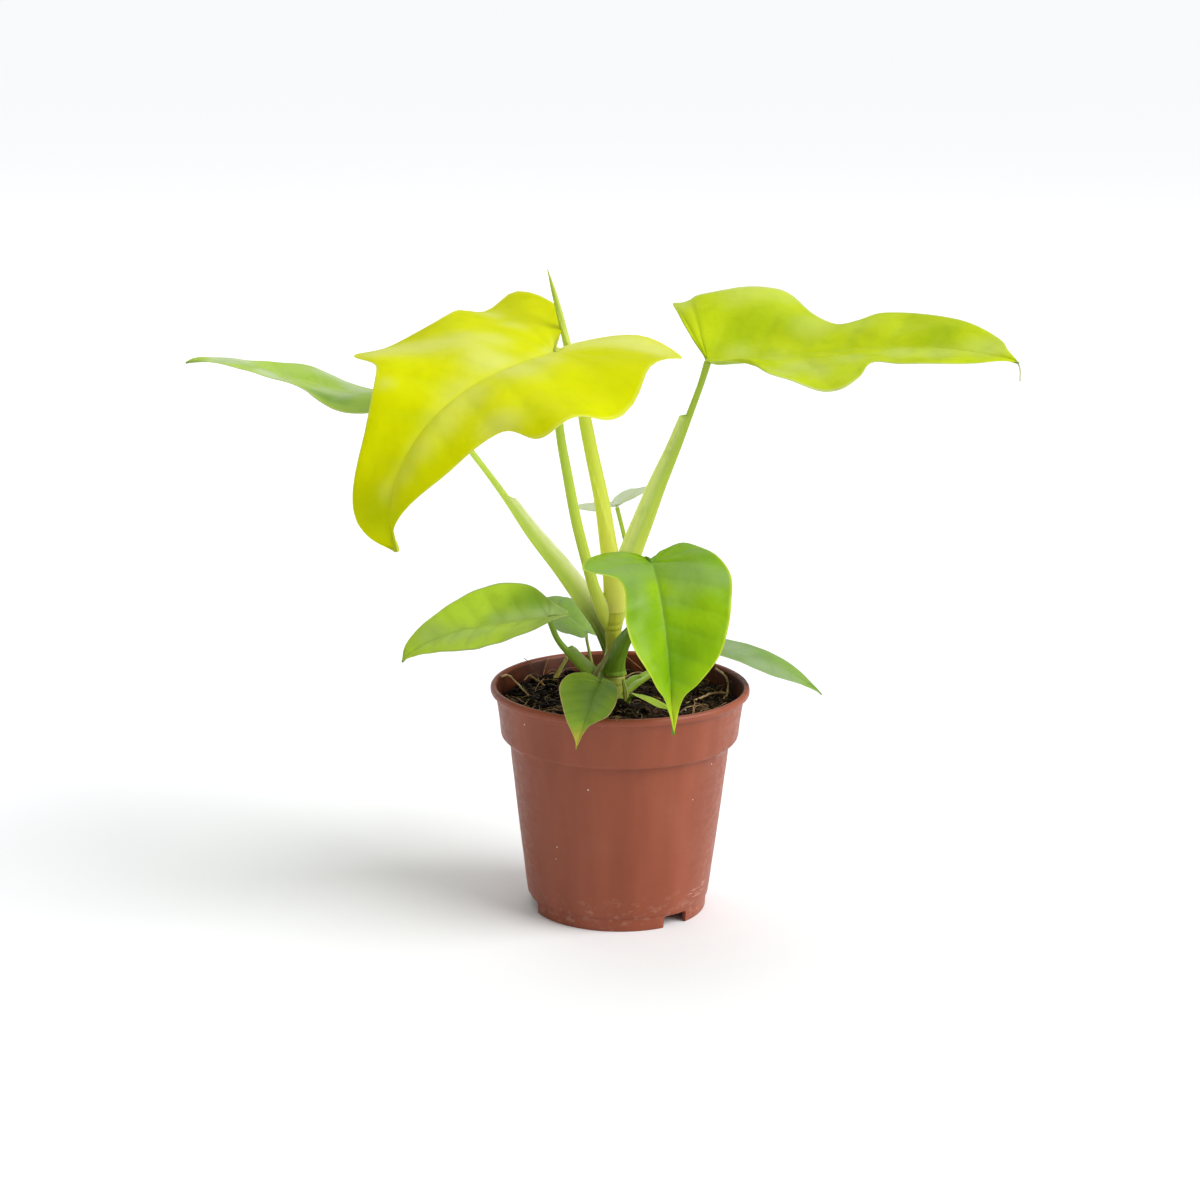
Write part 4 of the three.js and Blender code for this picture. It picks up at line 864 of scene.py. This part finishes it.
def leaf_blade(node, name, slot, upper, under):
    """A thin closed blade with its midrib's keel, its side veins sunk and the tissue full between them."""
    leaf = BLADES[node]
    lobes = np.linspace(-1, 0, LOBE_VEINS * 6 + 1)[:-1]
    s = np.concatenate([lobes, np.linspace(0, 1, BLADE_VEINS * 10 + 1)])
    vein = np.where(s < 0, s * LOBE_VEINS, s * BLADE_VEINS)
    start = np.maximum(s, 0) * leaf["length"]
    taper = 1 - 0.75 * np.clip(s, 0, 1)
    rows = np.array([-share for share in OUT_ROWS[:0:-1]] + list(OUT_ROWS))
    places = np.zeros((len(s), len(rows), 3))
    body = np.zeros((len(s), len(rows)))
    # Patches of pale painted highlight, of lighter colour (on the gold blade painted fill light) and of
    # darker colour.
    tints = {kind: np.zeros((len(s), len(rows))) for kind in ("painted_highlight", "fresh_and_painted_fill", "deep")}
    small = min(1.0, leaf["half_width"] / LARGE_HALF_WIDTH)
    for j, signed in enumerate(rows):
        hand = -1 if signed < 0 else 1
        share = abs(signed)
        half = leaf["left" if hand > 0 else "right"]
        margin = margin_of(leaf, half, s)
        u = start + (margin[:, 0] - start) * share
        v = np.abs(margin[:, 1]) * share
        middle = blade_points(leaf, half, hand, u, v)
        if share:
            ahead = blade_points(leaf, half, hand, u + 0.5, v) - blade_points(leaf, half, hand, u - 0.5, v)
            outward = blade_points(leaf, half, hand, u, v + 0.5) - middle
            normal = unit(np.cross(ahead, outward) * hand)
        else:
            normal = midrib(leaf, u / leaf["length"])[2]
        full = FULLNESS * np.abs(np.sin(np.pi * vein)) ** 0.8 * share**0.6 * (1 - share) ** 0.5
        groove = np.exp(-((v / (GROOVE_WIDTH * small)) ** 2)) * taper * np.clip(start / 8, 0.3, 1)
        frill = np.sin(2 * np.pi * vein * 0.8 + 2.1 * hand + leaf["length"]) * share**5
        frill *= np.clip(1 - s, 0, 1) ** 0.5
        around = zip(u / SWELL_SIZE, hand * v / SWELL_SIZE)
        sway = np.array([noise.noise(Vector((a, b, leaf["length"]))) for a, b in around])
        swell = SWELL * sway * smoothstep(0, 0.3, share) * (1 - 0.8 * smoothstep(0.6, 1, share))
        rise = full - leaf.get("groove", 0.35) * groove + leaf.get("frill", 0.25) * frill + swell
        places[:, j] = middle + normal * (small * rise)[:, None]
        for kind, tint in tints.items():
            tint[:, j] = patch_share(leaf.get(kind, ()), u, hand * v)
        # The tissue is a quarter as thick as the keel, and thinner at the margin.
        keel = np.exp(-((v / (KEEL_WIDTH * small)) ** 2)) * taper * np.clip(0.3 + start / 6, 0.3, 1)
        body[:, j] = 0.24 - 0.08 * share**3 + 0.76 * keel
    piece, columns, lines = laid(name, places)
    mapped(piece, "veins", vein[columns] + 10, np.abs(rows)[lines])
    for kind, tint in tints.items():
        painted(piece, kind, tint[columns, lines])
    group = piece.vertex_groups.new(name="body")
    for k, weight in enumerate(body[columns, lines]):
        group.add([k], float(weight), "REPLACE")
    merge(piece, closed=False)
    piece.data.materials.append(upper)
    piece.data.materials.append(under)
    sides = {"offset": -1, "material_offset": 1, "material_offset_rim": 1}
    thicken(piece, KEEL_DEPTH * small, vertex_group="body", **sides)
    piece.vertex_groups.clear()
    settle(piece, slot, node)


# Stalks and strands

SECTION_SIDES = 36
# Half the section of a round stalk with its shallow groove, from the back to the groove, on radius 1.
ROUND_HALF = np.array([(0, -1), (0.5, -0.87), (0.87, -0.5), (1, 0), (0.93, 0.38), (0.74, 0.68), (0.56, 0.82),
    (0.38, 0.85), (0.18, 0.8), (0, 0.77)])


def stalk_section(radius, wing):
    """One closed section: round with a shallow groove, or with two thin wings drawn up round it. The
    second list says where it is pale."""
    rise = max(wing, 0.01)
    winged = np.array([
        (0, -radius), (0.5 * radius, -0.87 * radius), (0.87 * radius, -0.5 * radius), (radius, 0),
        (1.05 * radius, 0.5 * rise), (0.88 * radius, rise), (0.88 * radius - 0.3, rise - 0.1),
        (radius - 0.55, 0.5 * rise), (0.45 * radius, 0.12 * radius), (0, -0.08 * radius)])
    drawn = smoothstep(0.8, 1.5, rise / radius)
    half = ROUND_HALF * radius * (1 - drawn) + winged * drawn
    loop = np.vstack([half, half[-2:0:-1] * (-1, 1), half[:1]])
    padded = np.vstack([loop[-2], loop, loop[1]])
    points = spline(padded, np.linspace(0, len(loop) - 1, SECTION_SIDES + 1))
    return points, smoothstep(0.35 * rise, rise, points[:, 1]) * drawn


def tube(node, name, places, pale, slot, finish):
    """Rolls a sheet into a closed tube, with the shares of its length and of its turn as its map."""
    steps = np.linalg.norm(np.diff(places[:, 0], axis=0), axis=1)
    length = np.concatenate([[0], np.cumsum(steps)])
    piece, columns, lines = laid(name, places)
    mapped(piece, "grain", (length / length[-1])[columns], lines / SECTION_SIDES)
    painted(piece, "pale", pale[columns, lines])
    merge(piece, closed=True)
    piece.data.materials.append(finish)
    settle(piece, slot, node)


def stalk(node, name, slot, finish):
    """A petiole drawn along its path, with its sheath's wings where the table gives them height."""
    shape = STALKS[node]
    t, line, groove, wide = course(shape["path"], 12 * (len(shape["path"]) - 1) + 1, shape["groove"])
    wing = np.maximum(smooth_values(shape.get("wing", (0, 0)), t), 0)
    if "ligule" in shape:
        wing *= 1 - smoothstep(shape["ligule"] - 0.012, shape["ligule"] + 0.006, t)
    sections = [stalk_section(*sizes) for sizes in zip(smooth_values(shape["radius"], t), wing)]
    drawn, pale = map(np.array, zip(*sections))
    places = line[:, None] + drawn[..., :1] * wide[:, None] + drawn[..., 1:] * groove[:, None]
    tube(node, name, places, pale, slot, finish)


def stem(node, name, slot, finish):
    """A round stem with the ring creases of its nodes, or a rolled leaf whose outer margin stands off."""
    shape = STEMS[node]
    aside = (1.0, 0.2, 0)
    t, line, wide, deep = course(shape["path"], 14 * (len(shape["path"]) - 1) + 1, aside)
    radius = smooth_values(shape["radius"], t)
    for at, depth in shape.get("rings", ()):
        radius -= 0.45 * depth * np.exp(-(((t - at) / 0.008) ** 2))
        radius += 0.4 * depth * np.exp(-(((t - at - 0.02) / 0.02) ** 2))
    turn = np.linspace(0, 1, SECTION_SIDES + 1)
    stands_off = shape.get("overlap", 0) * ((turn + t[:, None] * 0.6) % 1) ** 6
    uneven = radius[:, None] * (1 + stands_off)
    uneven[:, -1] = uneven[:, 0]
    round_x, round_y = np.cos(math.tau * turn)[:, None], np.sin(math.tau * turn)[:, None]
    ring = wide[:, None] * round_x + deep[:, None] * round_y
    places = line[:, None] + ring * uneven[..., None]
    tube(node, name, places, np.zeros(uneven.shape), slot, finish)


def dry_strip(node, name, slot, finish):
    """A dry, curled strip of an old sheath, thin and torn at its edges."""
    shape = STRIPS[node]
    t, line, face, wide = course(shape["path"], 21, shape["face"])
    half = np.maximum(smooth_values(shape["half_width"], t), 0.12)
    sides = np.linspace(-1, 1, 9)
    places = np.zeros((len(t), len(sides), 3))
    for j, side in enumerate(sides):
        torn = 1 + 0.18 * np.sin(t * 31 + side * 3) * abs(side)
        places[:, j] = line + wide * (half * side * torn)[:, None] + face * (half * 0.55 * side**2)[:, None]
    piece, columns, lines = laid(name, places)
    piece.data.uv_layers.active.name = "grain"
    painted(piece, "pale", np.abs(sides)[lines])
    thicken(piece, 0.3)
    piece.data.materials.append(finish)
    settle(piece, slot, node)


def strands(name, lines, slot, finish, bevel, *nodes):
    """Thin round strands through lists of (point, radius in millimetres), as one closed mesh."""
    data = bpy.data.curves.new(name, "CURVE")
    data.dimensions = "3D"
    data.bevel_depth = MM
    data.bevel_resolution = bevel
    data.use_fill_caps = True
    for line, radii in lines:
        thread = data.splines.new("POLY")
        thread.points.add(len(line) - 1)
        for point, place, radius in zip(thread.points, placed(line), radii):
            point.co = (*place, 1)
            point.radius = radius
    piece = bpy.data.objects.new(name, data)
    scene.collection.objects.link(piece)
    deselect()
    piece.select_set(True)
    bpy.context.view_layer.objects.active = piece
    bpy.ops.object.convert(target="MESH")
    piece = bpy.context.object
    piece.data.name = name
    merge(piece, closed=False)
    piece.data.materials.clear()
    piece.data.materials.append(finish)
    settle(piece, slot, *nodes)


def thread_line(points, radius):
    """A loose strand's smooth line and its radii, thinner towards its end."""
    t = np.linspace(0, 1, 6 * (len(points) - 1) + 1)
    return smooth_curve(points, t), radius * (1 - 0.4 * t)


def root_line(points, radius, seed):
    """A root's line, which wanders a little between its ends, and its uneven radii."""
    t = np.linspace(0, 1, 9 * (len(points) - 1) + 1)
    line = smooth_curve(points, t)
    for k, share in enumerate(t):
        wander = Vector((k * 0.31, seed, 0))
        line[k] += 0.35 * np.array(noise.noise_vector(wander)) * math.sin(math.pi * share)
    return line, radius * (1 - 0.35 * t) * (1 + 0.12 * np.sin(t * 40 + seed))


# The pot

POT_SEGMENTS = 256
LEDGE_HALF_ANGLE = 57
SOIL_Z = 98
# Notches in the foot ring: the angle of the middle and the width in millimetres. Their cutters stand
# across the ring's middle.
NOTCHES = ((-50, 13.4), (70, 18.4), (189, 24))
FOOT_RING_RADIUS = 40.2
NOTCH_CUTTER_DEPTH = 9
NOTCH_CUTTER_HEIGHT = 8.4
NOTCH_CUTTER_Z = 1.5
NOTCH_ROUNDING = 1.2
DRAIN_HOLES = 6
DRAIN_RING_RADIUS = 22
DRAIN_RADIUS = 3.5
DRAIN_CUTTER_HEIGHT = 6
FLOOR_UNDERSIDE = 6.5
FLOOR_TOP = 8.1
INSIDE_TOP = 105.6

# The pot's outline as (radius, height), from under the floor up the outside, over the lip and down inside.
POT_PROFILE = [
    (6, 6.5), (35.5, 6.5), (36.5, 3.8), (39.2, 3.8), (39.2, 0.3), (39.5, 0), (40.7, 0), (41.0, 0.25),
    (41.2, 0.8), (41.35, 3.4), (41.5, 6.1), (41.45, 6.45), (41.6, 6.75), (42.15, 6.9), (42.3, 7.3),
    (43.0, 12), (44.2, 22), (45.5, 32), (46.7, 42), (47.9, 52), (49.0, 62), (50.0, 70), (50.6, 75.5),
    (50.9, 78.5), (51.1, 80.2), (51.2, 81.0), (51.4, 81.5), (51.9, 81.7), (53.9, 81.9), (54.6, 82.1),
    (54.95, 82.6), (55.15, 83.6), (55.3, 86), (55.75, 90), (56.5, 95.5), (57.2, 100), (57.55, 102.3),
    (57.9, 102.8), (59.2, 103.0), (59.7, 103.4), (59.95, 104), (60, 104.8), (59.85, 105.6),
    (59.45, 106.25), (58.9, 106.55), (58.3, 106.6), (57.75, 106.45), (57.35, 106.0), (57.1, 105.2),
    (56.7, 103), (56.2, 100), (55.3, 94), (54.3, 87), (53.6, 84.6), (52.8, 83.6), (50.4, 82.6),
    (49.9, 81.2), (49.1, 74), (46.0, 48), (41.2, 8.6), (40.6, 8.1), (6, 8.1),
]
# At the two sides the ledge under the collar gives way to a slope, where these rings run instead.
SIDE_RINGS = {
    (50.6, 75.5): (50.6, 76.2), (50.9, 78.5): (50.85, 78.0), (51.1, 80.2): (51.0, 79.0),
    (51.2, 81.0): (51.4, 79.7), (51.4, 81.5): (52.0, 80.3), (51.9, 81.7): (52.7, 80.9),
    (53.9, 81.9): (53.5, 81.6), (54.6, 82.1): (54.3, 82.3), (54.95, 82.6): (54.9, 83.1),
    (55.15, 83.6): (55.2, 84.3), (55.3, 86): (55.4, 86.4), (54.3, 87): (54.3, 87.2),
    (53.6, 84.6): (53.6, 85.2), (52.8, 83.6): (52.4, 83.6), (50.4, 82.6): (50.7, 81.6),
    (49.9, 81.2): (49.7, 79.8), (49.1, 74): (49.0, 73.8),
}


def notch_cutter(angle, width):
    """A block with rounded edges that cuts one notch out of the foot ring."""
    turn = math.radians(angle)
    x, y = FOOT_RING_RADIUS * math.cos(turn), FOOT_RING_RADIUS * math.sin(turn)
    deselect()
    centre = placed((x, y, NOTCH_CUTTER_Z))
    bpy.ops.mesh.primitive_cube_add(size=1, location=centre, rotation=(0, 0, turn))
    cutter = bpy.context.object
    cutter.scale = (NOTCH_CUTTER_DEPTH * MM, width * MM, NOTCH_CUTTER_HEIGHT * MM)
    bpy.ops.object.transform_apply(location=True, rotation=True, scale=True)
    bpy.ops.object.mode_set(mode="EDIT")
    bpy.ops.mesh.select_all(action="SELECT")
    bpy.ops.mesh.bevel(offset=NOTCH_ROUNDING * MM, segments=3)
    bpy.ops.object.mode_set(mode="OBJECT")
    return cutter


def drain_cutter(number):
    """A cylinder that cuts one drain hole through the floor."""
    turn = math.tau * number / DRAIN_HOLES
    x, y = DRAIN_RING_RADIUS * math.cos(turn), DRAIN_RING_RADIUS * math.sin(turn)
    deselect()
    centre = placed((x, y, (FLOOR_UNDERSIDE + FLOOR_TOP) / 2))
    bpy.ops.mesh.primitive_cylinder_add(
        vertices=32, radius=DRAIN_RADIUS * MM, depth=DRAIN_CUTTER_HEIGHT * MM, location=centre)
    bpy.ops.object.transform_apply(location=True, rotation=True, scale=True)
    return bpy.context.object


def nursery_pot():
    """The turned pot with its ledge, notches and drain holes, darker inside as painted shade, and soiled
    there.
    """
    pot = turned("nursery_pot", POT_PROFILE, POT_SEGMENTS)
    for vertex in pot.data.vertices:
        ring = POT_PROFILE[vertex.index // POT_SEGMENTS]
        if ring not in SIDE_RINGS:
            continue
        x, y = off_axis(vertex.co)
        from_front = abs(abs(math.degrees(math.atan2(y, x))) - 90)
        slope = float(smoothstep(LEDGE_HALF_ANGLE - 1.5, LEDGE_HALF_ANGLE + 1.5, from_front))
        radius, height = (a + (b - a) * slope for a, b in zip(ring, SIDE_RINGS[ring]))
        vertex.co = placed((x * radius / ring[0], y * radius / ring[0], height))
    cut(pot, [notch_cutter(*notch) for notch in NOTCHES] + [drain_cutter(k) for k in range(DRAIN_HOLES)])
    pot.data.materials.append(pot_outside)
    pot.data.materials.append(pot_inside_shaded)
    # The inner wall and the floor's top take the darker inside finish, painted shade within the pot.
    for face in pot.data.polygons:
        x, y = off_axis(face.center)
        above = face.center.z / MM
        wall = face.normal.x * x + face.normal.y * y < 0 and FLOOR_UNDERSIDE + 0.5 < above < INSIDE_TOP
        floor_top = FLOOR_TOP - 0.6 < above < FLOOR_TOP + 0.9 and face.normal.z > 0.5
        face.material_index = 1 if wall or floor_top else 0
    settle(pot, "pot_plastic", "pot", sharp=38)


nursery_pot()

# Potting mix

SOIL_RADIUS = 54.3
SOIL_MARGIN = 1.5
STEM_CLEARANCE = 6.0
FIBRE_SPREAD = 52
FIBRE_LIMIT = 53.4
# Lumps in the mix: their size, the part of the noise they are taken from, and their height.
SOIL_LUMPS = ((13, 3.1, 1.5), (4.2, 8.7, 1.1), (1.6, 1.3, 0.45))
# The mix is heaped a little round the stem. The spread is in square millimetres.
HEAP_CENTRE = (-3, 3)
HEAP_HEIGHT = 1.8
HEAP_SPREAD = 140
# The mix against the wall, as (radius, height), from under it up to its top.
SOIL_WALL = [(6, 8.4), (40.2, 8.4), (48.6, 74), (52.2, 85.4), (53.9, 96.5)]
SOIL_RINGS = 46
soil_dice = random.Random(7)


def soil_level(x, y):
    """The height of the mix, with its lumps and its heap."""
    level = SOIL_Z
    for size, part, height in SOIL_LUMPS:
        level += height * noise.noise(Vector((x / size, y / size, part)))
    away = (x - HEAP_CENTRE[0]) ** 2 + (y - HEAP_CENTRE[1]) ** 2
    return level + HEAP_HEIGHT * math.exp(-away / HEAP_SPREAD)


def potting_mix():
    """The mix as one solid that fills the pot, with an uneven top."""
    rings = [(SOIL_RADIUS * k / SOIL_RINGS, SOIL_Z) for k in range(SOIL_RINGS, 0, -1)]
    soil = turned("potting_mix", SOIL_WALL + rings, 160)
    for vertex in soil.data.vertices:
        if vertex.co.z > (SOIL_Z - 0.5) * MM:
            vertex.co.z = soil_level(*off_axis(vertex.co)) * MM
    soil.data.materials.append(peat_mix)
    settle(soil, "potting_soil", "soil", sharp=180)


def lump(subdivisions, uneven, seed):
    """One irregular crumb, about 2 across before it is sized."""
    deselect()
    bpy.ops.mesh.primitive_ico_sphere_add(subdivisions=subdivisions, radius=1)
    crumb = bpy.context.object
    for vertex in crumb.data.vertices:
        shift = noise.noise(vertex.co * 1.7 + Vector((seed * 3.3, 0, 0)))
        vertex.co *= 1 + uneven * shift
    return crumb


def scattered(name, kinds, places, finish, slot):
    """Copies of the kinds, each with its own mesh, at their places, joined into one piece."""
    copies = []
    for k, matrix in enumerate(places):
        copy = kinds[k % len(kinds)].copy()
        copy.data = copy.data.copy()
        copy.data.transform(matrix)
        scene.collection.objects.link(copy)
        copies.append(copy)
    for kind in kinds:
        bpy.data.objects.remove(kind)
    deselect()
    for copy in copies:
        copy.select_set(True)
    bpy.context.view_layer.objects.active = copies[0]
    bpy.ops.object.join()
    piece = bpy.context.object
    piece.name = piece.data.name = name
    piece.data.materials.append(finish)
    settle(piece, slot, sharp=50)


def on_soil(dice, size, flat, sink):
    """A place on the mix for a grain of that size in millimetres, turned at random and partly sunk."""
    while True:
        x, y = dice.uniform(-SOIL_RADIUS, SOIL_RADIUS), dice.uniform(-SOIL_RADIUS, SOIL_RADIUS)
        if STEM_CLEARANCE < math.hypot(x, y) < SOIL_RADIUS - SOIL_MARGIN - size:
            break
    long, wide = size * dice.uniform(0.9, 1.5), size * dice.uniform(0.6, 1.0)
    high = size * flat * dice.uniform(0.7, 1.1)
    turn = Matrix.Rotation(dice.uniform(0, math.tau), 4, "Z")
    turn = turn @ Matrix.Rotation(dice.uniform(-0.7, 0.7), 4, "X")
    place = Vector(placed((x, y, soil_level(x, y) + high * (1 - sink))))
    return Matrix.Translation(place) @ turn @ Matrix.Diagonal((long * MM, wide * MM, high * MM, 1))


def fibre_lines(dice, count, short, long, thin, thick, lift):
    """Wandering strands that lie on the mix and here and there arch clear of it."""
    steps = 8
    lines = []
    for _ in range(count):
        angle, reach = dice.uniform(0, math.tau), FIBRE_SPREAD * math.sqrt(dice.uniform(0.02, 1))
        x, y = reach * math.cos(angle), reach * math.sin(angle)
        heading, bend = dice.uniform(0, math.tau), dice.uniform(-0.35, 0.35)
        length = dice.uniform(short, long)
        arch = dice.uniform(0, lift)
        line = []
        for k in range(steps + 1):
            back = min(1, FIBRE_LIMIT / max(math.hypot(x, y), 1))
            x, y = x * back, y * back
            rise = arch * math.sin(math.pi * k / steps)
            line.append((x, y, soil_level(x, y) + 0.1 + rise))
            heading += bend + dice.uniform(-0.35, 0.35)
            x += math.cos(heading) * length / steps
            y += math.sin(heading) * length / steps
        radius = dice.uniform(thin, thick)
        lines.append((line, [radius * (1 - 0.5 * k / steps) for k in range(steps + 1)]))
    return lines


# Piece, how many, smallest and largest size, flatness, share sunk, subdivisions, unevenness, number of
# kinds, first seed and finish.
GRAINS = [
    ("potting_mix_lumps", 330, (0.9, 2.3), 0.75, 0.35, 2, 0.75, 5, 0, peat_crumb),
    ("potting_mix_crumbs", 1500, (0.35, 0.9), 0.8, 0.35, 1, 0.6, 5, 9, peat_crumb),
    ("bark_chips", 70, (1.2, 2.6), 0.25, 0.35, 1, 0.5, 4, 17, dark_fibre),
    ("perlite_grains", 34, (0.3, 0.75), 0.8, 0.2, 1, 0.5, 3, 31, white_grain),
    ("moss_bits", 26, (0.5, 1.4), 0.4, 0.1, 1, 0.7, 3, 41, moss_bit),
]
# Loose strands that hang over the left wall and lie by the stem, listed one by one.
THREADS = [
    [(-45.5, 34, 109), (-43.6, 35.6, 107), (-41, 35.5, 103.4), (-38.8, 33, 100.2), (-38.1, 30, 98.6)],
    [(-34, 44, 106.6), (-34.8, 43.2, 104.2), (-35.8, 42, 101.8), (-36.4, 40, 99)],
    [(-45, 26, 100.4), (-43.4, 30, 101.4), (-40.5, 34, 101.4), (-37, 36, 99.4)],
    [(-33, 37.6, 99.2), (-36.7, 28, 99.9), (-38.4, 20, 100), (-39.6, 12, 99.4)],
    [(-20, -30, 99), (-26, -26, 100.6), (-33, -25, 100.8), (-39, -28, 99)],
    [(2.7, 6, 108), (6, 8, 109.4), (10.7, 10, 109), (17, 12, 104), (22, 13, 99)],
    [(3, 13, 116), (6, 14.5, 113), (10.3, 16, 109), (15, 17, 103), (19, 18, 99)],
    [(20, 24, 99), (27, 20, 101.6), (34, 21, 102), (40, 27, 99.6)],
    [(27, -20, 98.6), (31, -16, 100.2), (37, -15, 100.4), (43, -18, 99)],
    [(30, 30, 99), (34, 33, 101.8), (38, 36, 103), (41, 38, 102.4)],
    [(47, 14, 99), (49, 18, 101), (51, 16, 103.4), (52.4, 12, 104.6)],
]

potting_mix()
for name, count, sizes, flat, sink, subdivisions, uneven, kinds, seed, finish in GRAINS:
    shapes = [lump(subdivisions, uneven, seed + k) for k in range(kinds)]
    places = [on_soil(soil_dice, soil_dice.uniform(*sizes), flat, sink) for _ in range(count)]
    scattered(name, shapes, places, finish, "potting_soil")
dark_lines = fibre_lines(soil_dice, 330, 5, 20, 0.1, 0.24, 2.2)
strands("potting_mix_fibres_dark", dark_lines, "potting_soil", dark_fibre, 0)
tan_lines = fibre_lines(soil_dice, 190, 6, 24, 0.08, 0.2, 3.6)
strands("potting_mix_fibres_tan", tan_lines, "root_tan", tan_fibre, 0)
loose = [thread_line(points, 0.2 + 0.07 * (k % 3)) for k, points in enumerate(THREADS)]
strands("loose_strands", loose, "root_tan", tan_fibre, 1)

# Roots, stems, petioles and old sheaths

ROOT_RADIUS = 0.62
for order, (node, points) in enumerate(ROOTS.items()):
    line = root_line(points, ROOT_RADIUS, order + 1.5)
    strands(node.replace("root_", "strand_"), [line], "root_tan", root_skin, 2, node)

stem("main_stem", "stem", "stem_lime", stem_stalk)
stem("sheath_new_leaf", "new_leaf_sheath", "sheath_yellow", yellow_stalk)
stem("new_leaf_spear", "new_leaf", "sheath_yellow", spear_stalk)

STALK_FINISHES = {
    "petiole_golden_front": ("stem_lime", lime_stalk),
    "petiole_golden_right": ("stem_lime", lime_stalk),
    "petiole_green_left": ("stem_lime", left_stalk),
    "petiole_heart_front": ("petiole_green", dark_stalk),
    "petiole_rear": ("petiole_green", lime_stalk),
    "petiole_low_left": ("petiole_green", green_stalk),
    "petiole_small_rim": ("petiole_green", green_stalk),
    "petiole_low_right": ("petiole_green", green_stalk),
    "petiole_small_back_left": ("petiole_green", bronze_stalk),
    "petiole_tiny": ("petiole_green", green_stalk),
    "small_shoot": ("shoot_bronze", bronze_stalk),
    "petiole_stub": ("dry_sheath", stub_tissue),
}
for node, (slot, finish) in STALK_FINISHES.items():
    stalk(node, node.replace("petiole_", "stalk_").replace("small_shoot", "red_shoot"), slot, finish)
for node in STRIPS:
    dry_strip(node, node.replace("dry_", "old_"), "dry_sheath", dry_tissue)

# Blades

BLADE_FINISHES = {
    "leaf_golden_front": ("leaf_gold", gold_skin, gold_under),
    "leaf_golden_right": ("leaf_lime", lime_skin, lime_under),
    "leaf_green_left": ("leaf_green", green_skin, green_under),
    "leaf_heart_front": ("leaf_heart_green", heart_skin, heart_under),
    "leaf_green_low_left": ("leaf_green", low_skin, low_under),
    "leaf_small_back_left": ("leaf_soft_green", soft_skin, soft_under),
    "leaf_small_rim": ("leaf_rim_green", rim_skin, rim_under),
    "leaf_low_right": ("leaf_soft_green", soft_skin, soft_under),
    "leaf_rear": ("leaf_soft_green", rear_skin, rear_skin),
    "leaf_tiny": ("leaf_young", young_skin, green_under),
}
for node, (slot, upper, under) in BLADE_FINISHES.items():
    leaf_blade(node, node.replace("leaf_", "blade_"), slot, upper, under)
# The dried drip tip that hangs from the lime blade's end.
DRIP_TIP = [(173.6, -16.3, 262), (175.2, -16.8, 259.6), (175.8, -17, 257), (175.9, -17, 252.5)]
DRIP_TIP_RADIUS = 0.42
strands("drip_tip_right", [thread_line(DRIP_TIP, DRIP_TIP_RADIUS)], "leaf_lime", dried_tip, 2)

# Floor, light and camera

deselect()
bpy.ops.mesh.primitive_plane_add(size=60)
floor = bpy.context.object
floor.name = "studio_floor"
floor_finish, _, floor_shader, _ = new_finish("matt_white_board", 0.9, 1.45, 0.0)
floor_shader.inputs["Base Color"].default_value = linear("#F8F9FB")
floor.data.materials.append(floor_finish)

world = bpy.data.worlds.new("studio")
scene.world = world
world.use_nodes = True
SKY_LIGHT = 0.43
background = world.node_tree.nodes["Background"]
background.inputs["Color"].default_value = linear("#FFFFFF")
# The camera sees white paper above the horizon, where the plant gets the dimmer light of the room.
seen = add(world.node_tree, "LightPath")
strength = add(world.node_tree, "MapRange", seen, 0.0, 1.0, SKY_LIGHT, 1.0)
world.node_tree.links.new(strength, background.inputs["Strength"])

KEY_TURN = -20
KEY_HEIGHT = 34


def lamp(kind, name, towards, reach, power):
    """A light that far off in metres along towards, and pointing back to the plant."""
    deselect()
    towards = Vector(towards).normalized()
    bpy.ops.object.light_add(type=kind, location=towards * reach)
    light = bpy.context.object
    light.name = name
    light.data.energy = power
    light.rotation_euler = towards.to_track_quat("Z", "Y").to_euler()
    return light.data


turn, height = math.radians(KEY_TURN), math.radians(KEY_HEIGHT)
towards_key = (math.cos(turn) * math.cos(height), math.sin(turn) * math.cos(height), math.sin(height))
key = lamp("SUN", "key_light", towards_key, 3, 3.25)
key.angle = math.radians(52)
SOFTBOXES = {"top_softbox": ((-0.1, 0.5, 1.0), 2.2, 16), "back_softbox": ((-0.45, 1.0, 0.4), 2.6, 9)}
for name, (towards, size, power) in SOFTBOXES.items():
    softbox = lamp("AREA", name, towards, 2.6, power)
    softbox.shape = "SQUARE"
    softbox.size = size

CAMERA_PLACE = (0.0043, -1.252, 0.457)
CAMERA_PITCH = 76.02
CAMERA_ROLL = 0.58
deselect()
bpy.ops.object.camera_add(location=CAMERA_PLACE)
camera = bpy.context.object
camera.name = "photo_camera"
aim = Matrix.Rotation(math.radians(CAMERA_PITCH), 4, "X") @ Matrix.Rotation(math.radians(CAMERA_ROLL), 4, "Z")
camera.matrix_world = Matrix.Translation(CAMERA_PLACE) @ aim
camera.data.lens = 84
camera.data.sensor_width = 36
scene.camera = camera
scene.view_settings.view_transform = "Standard"
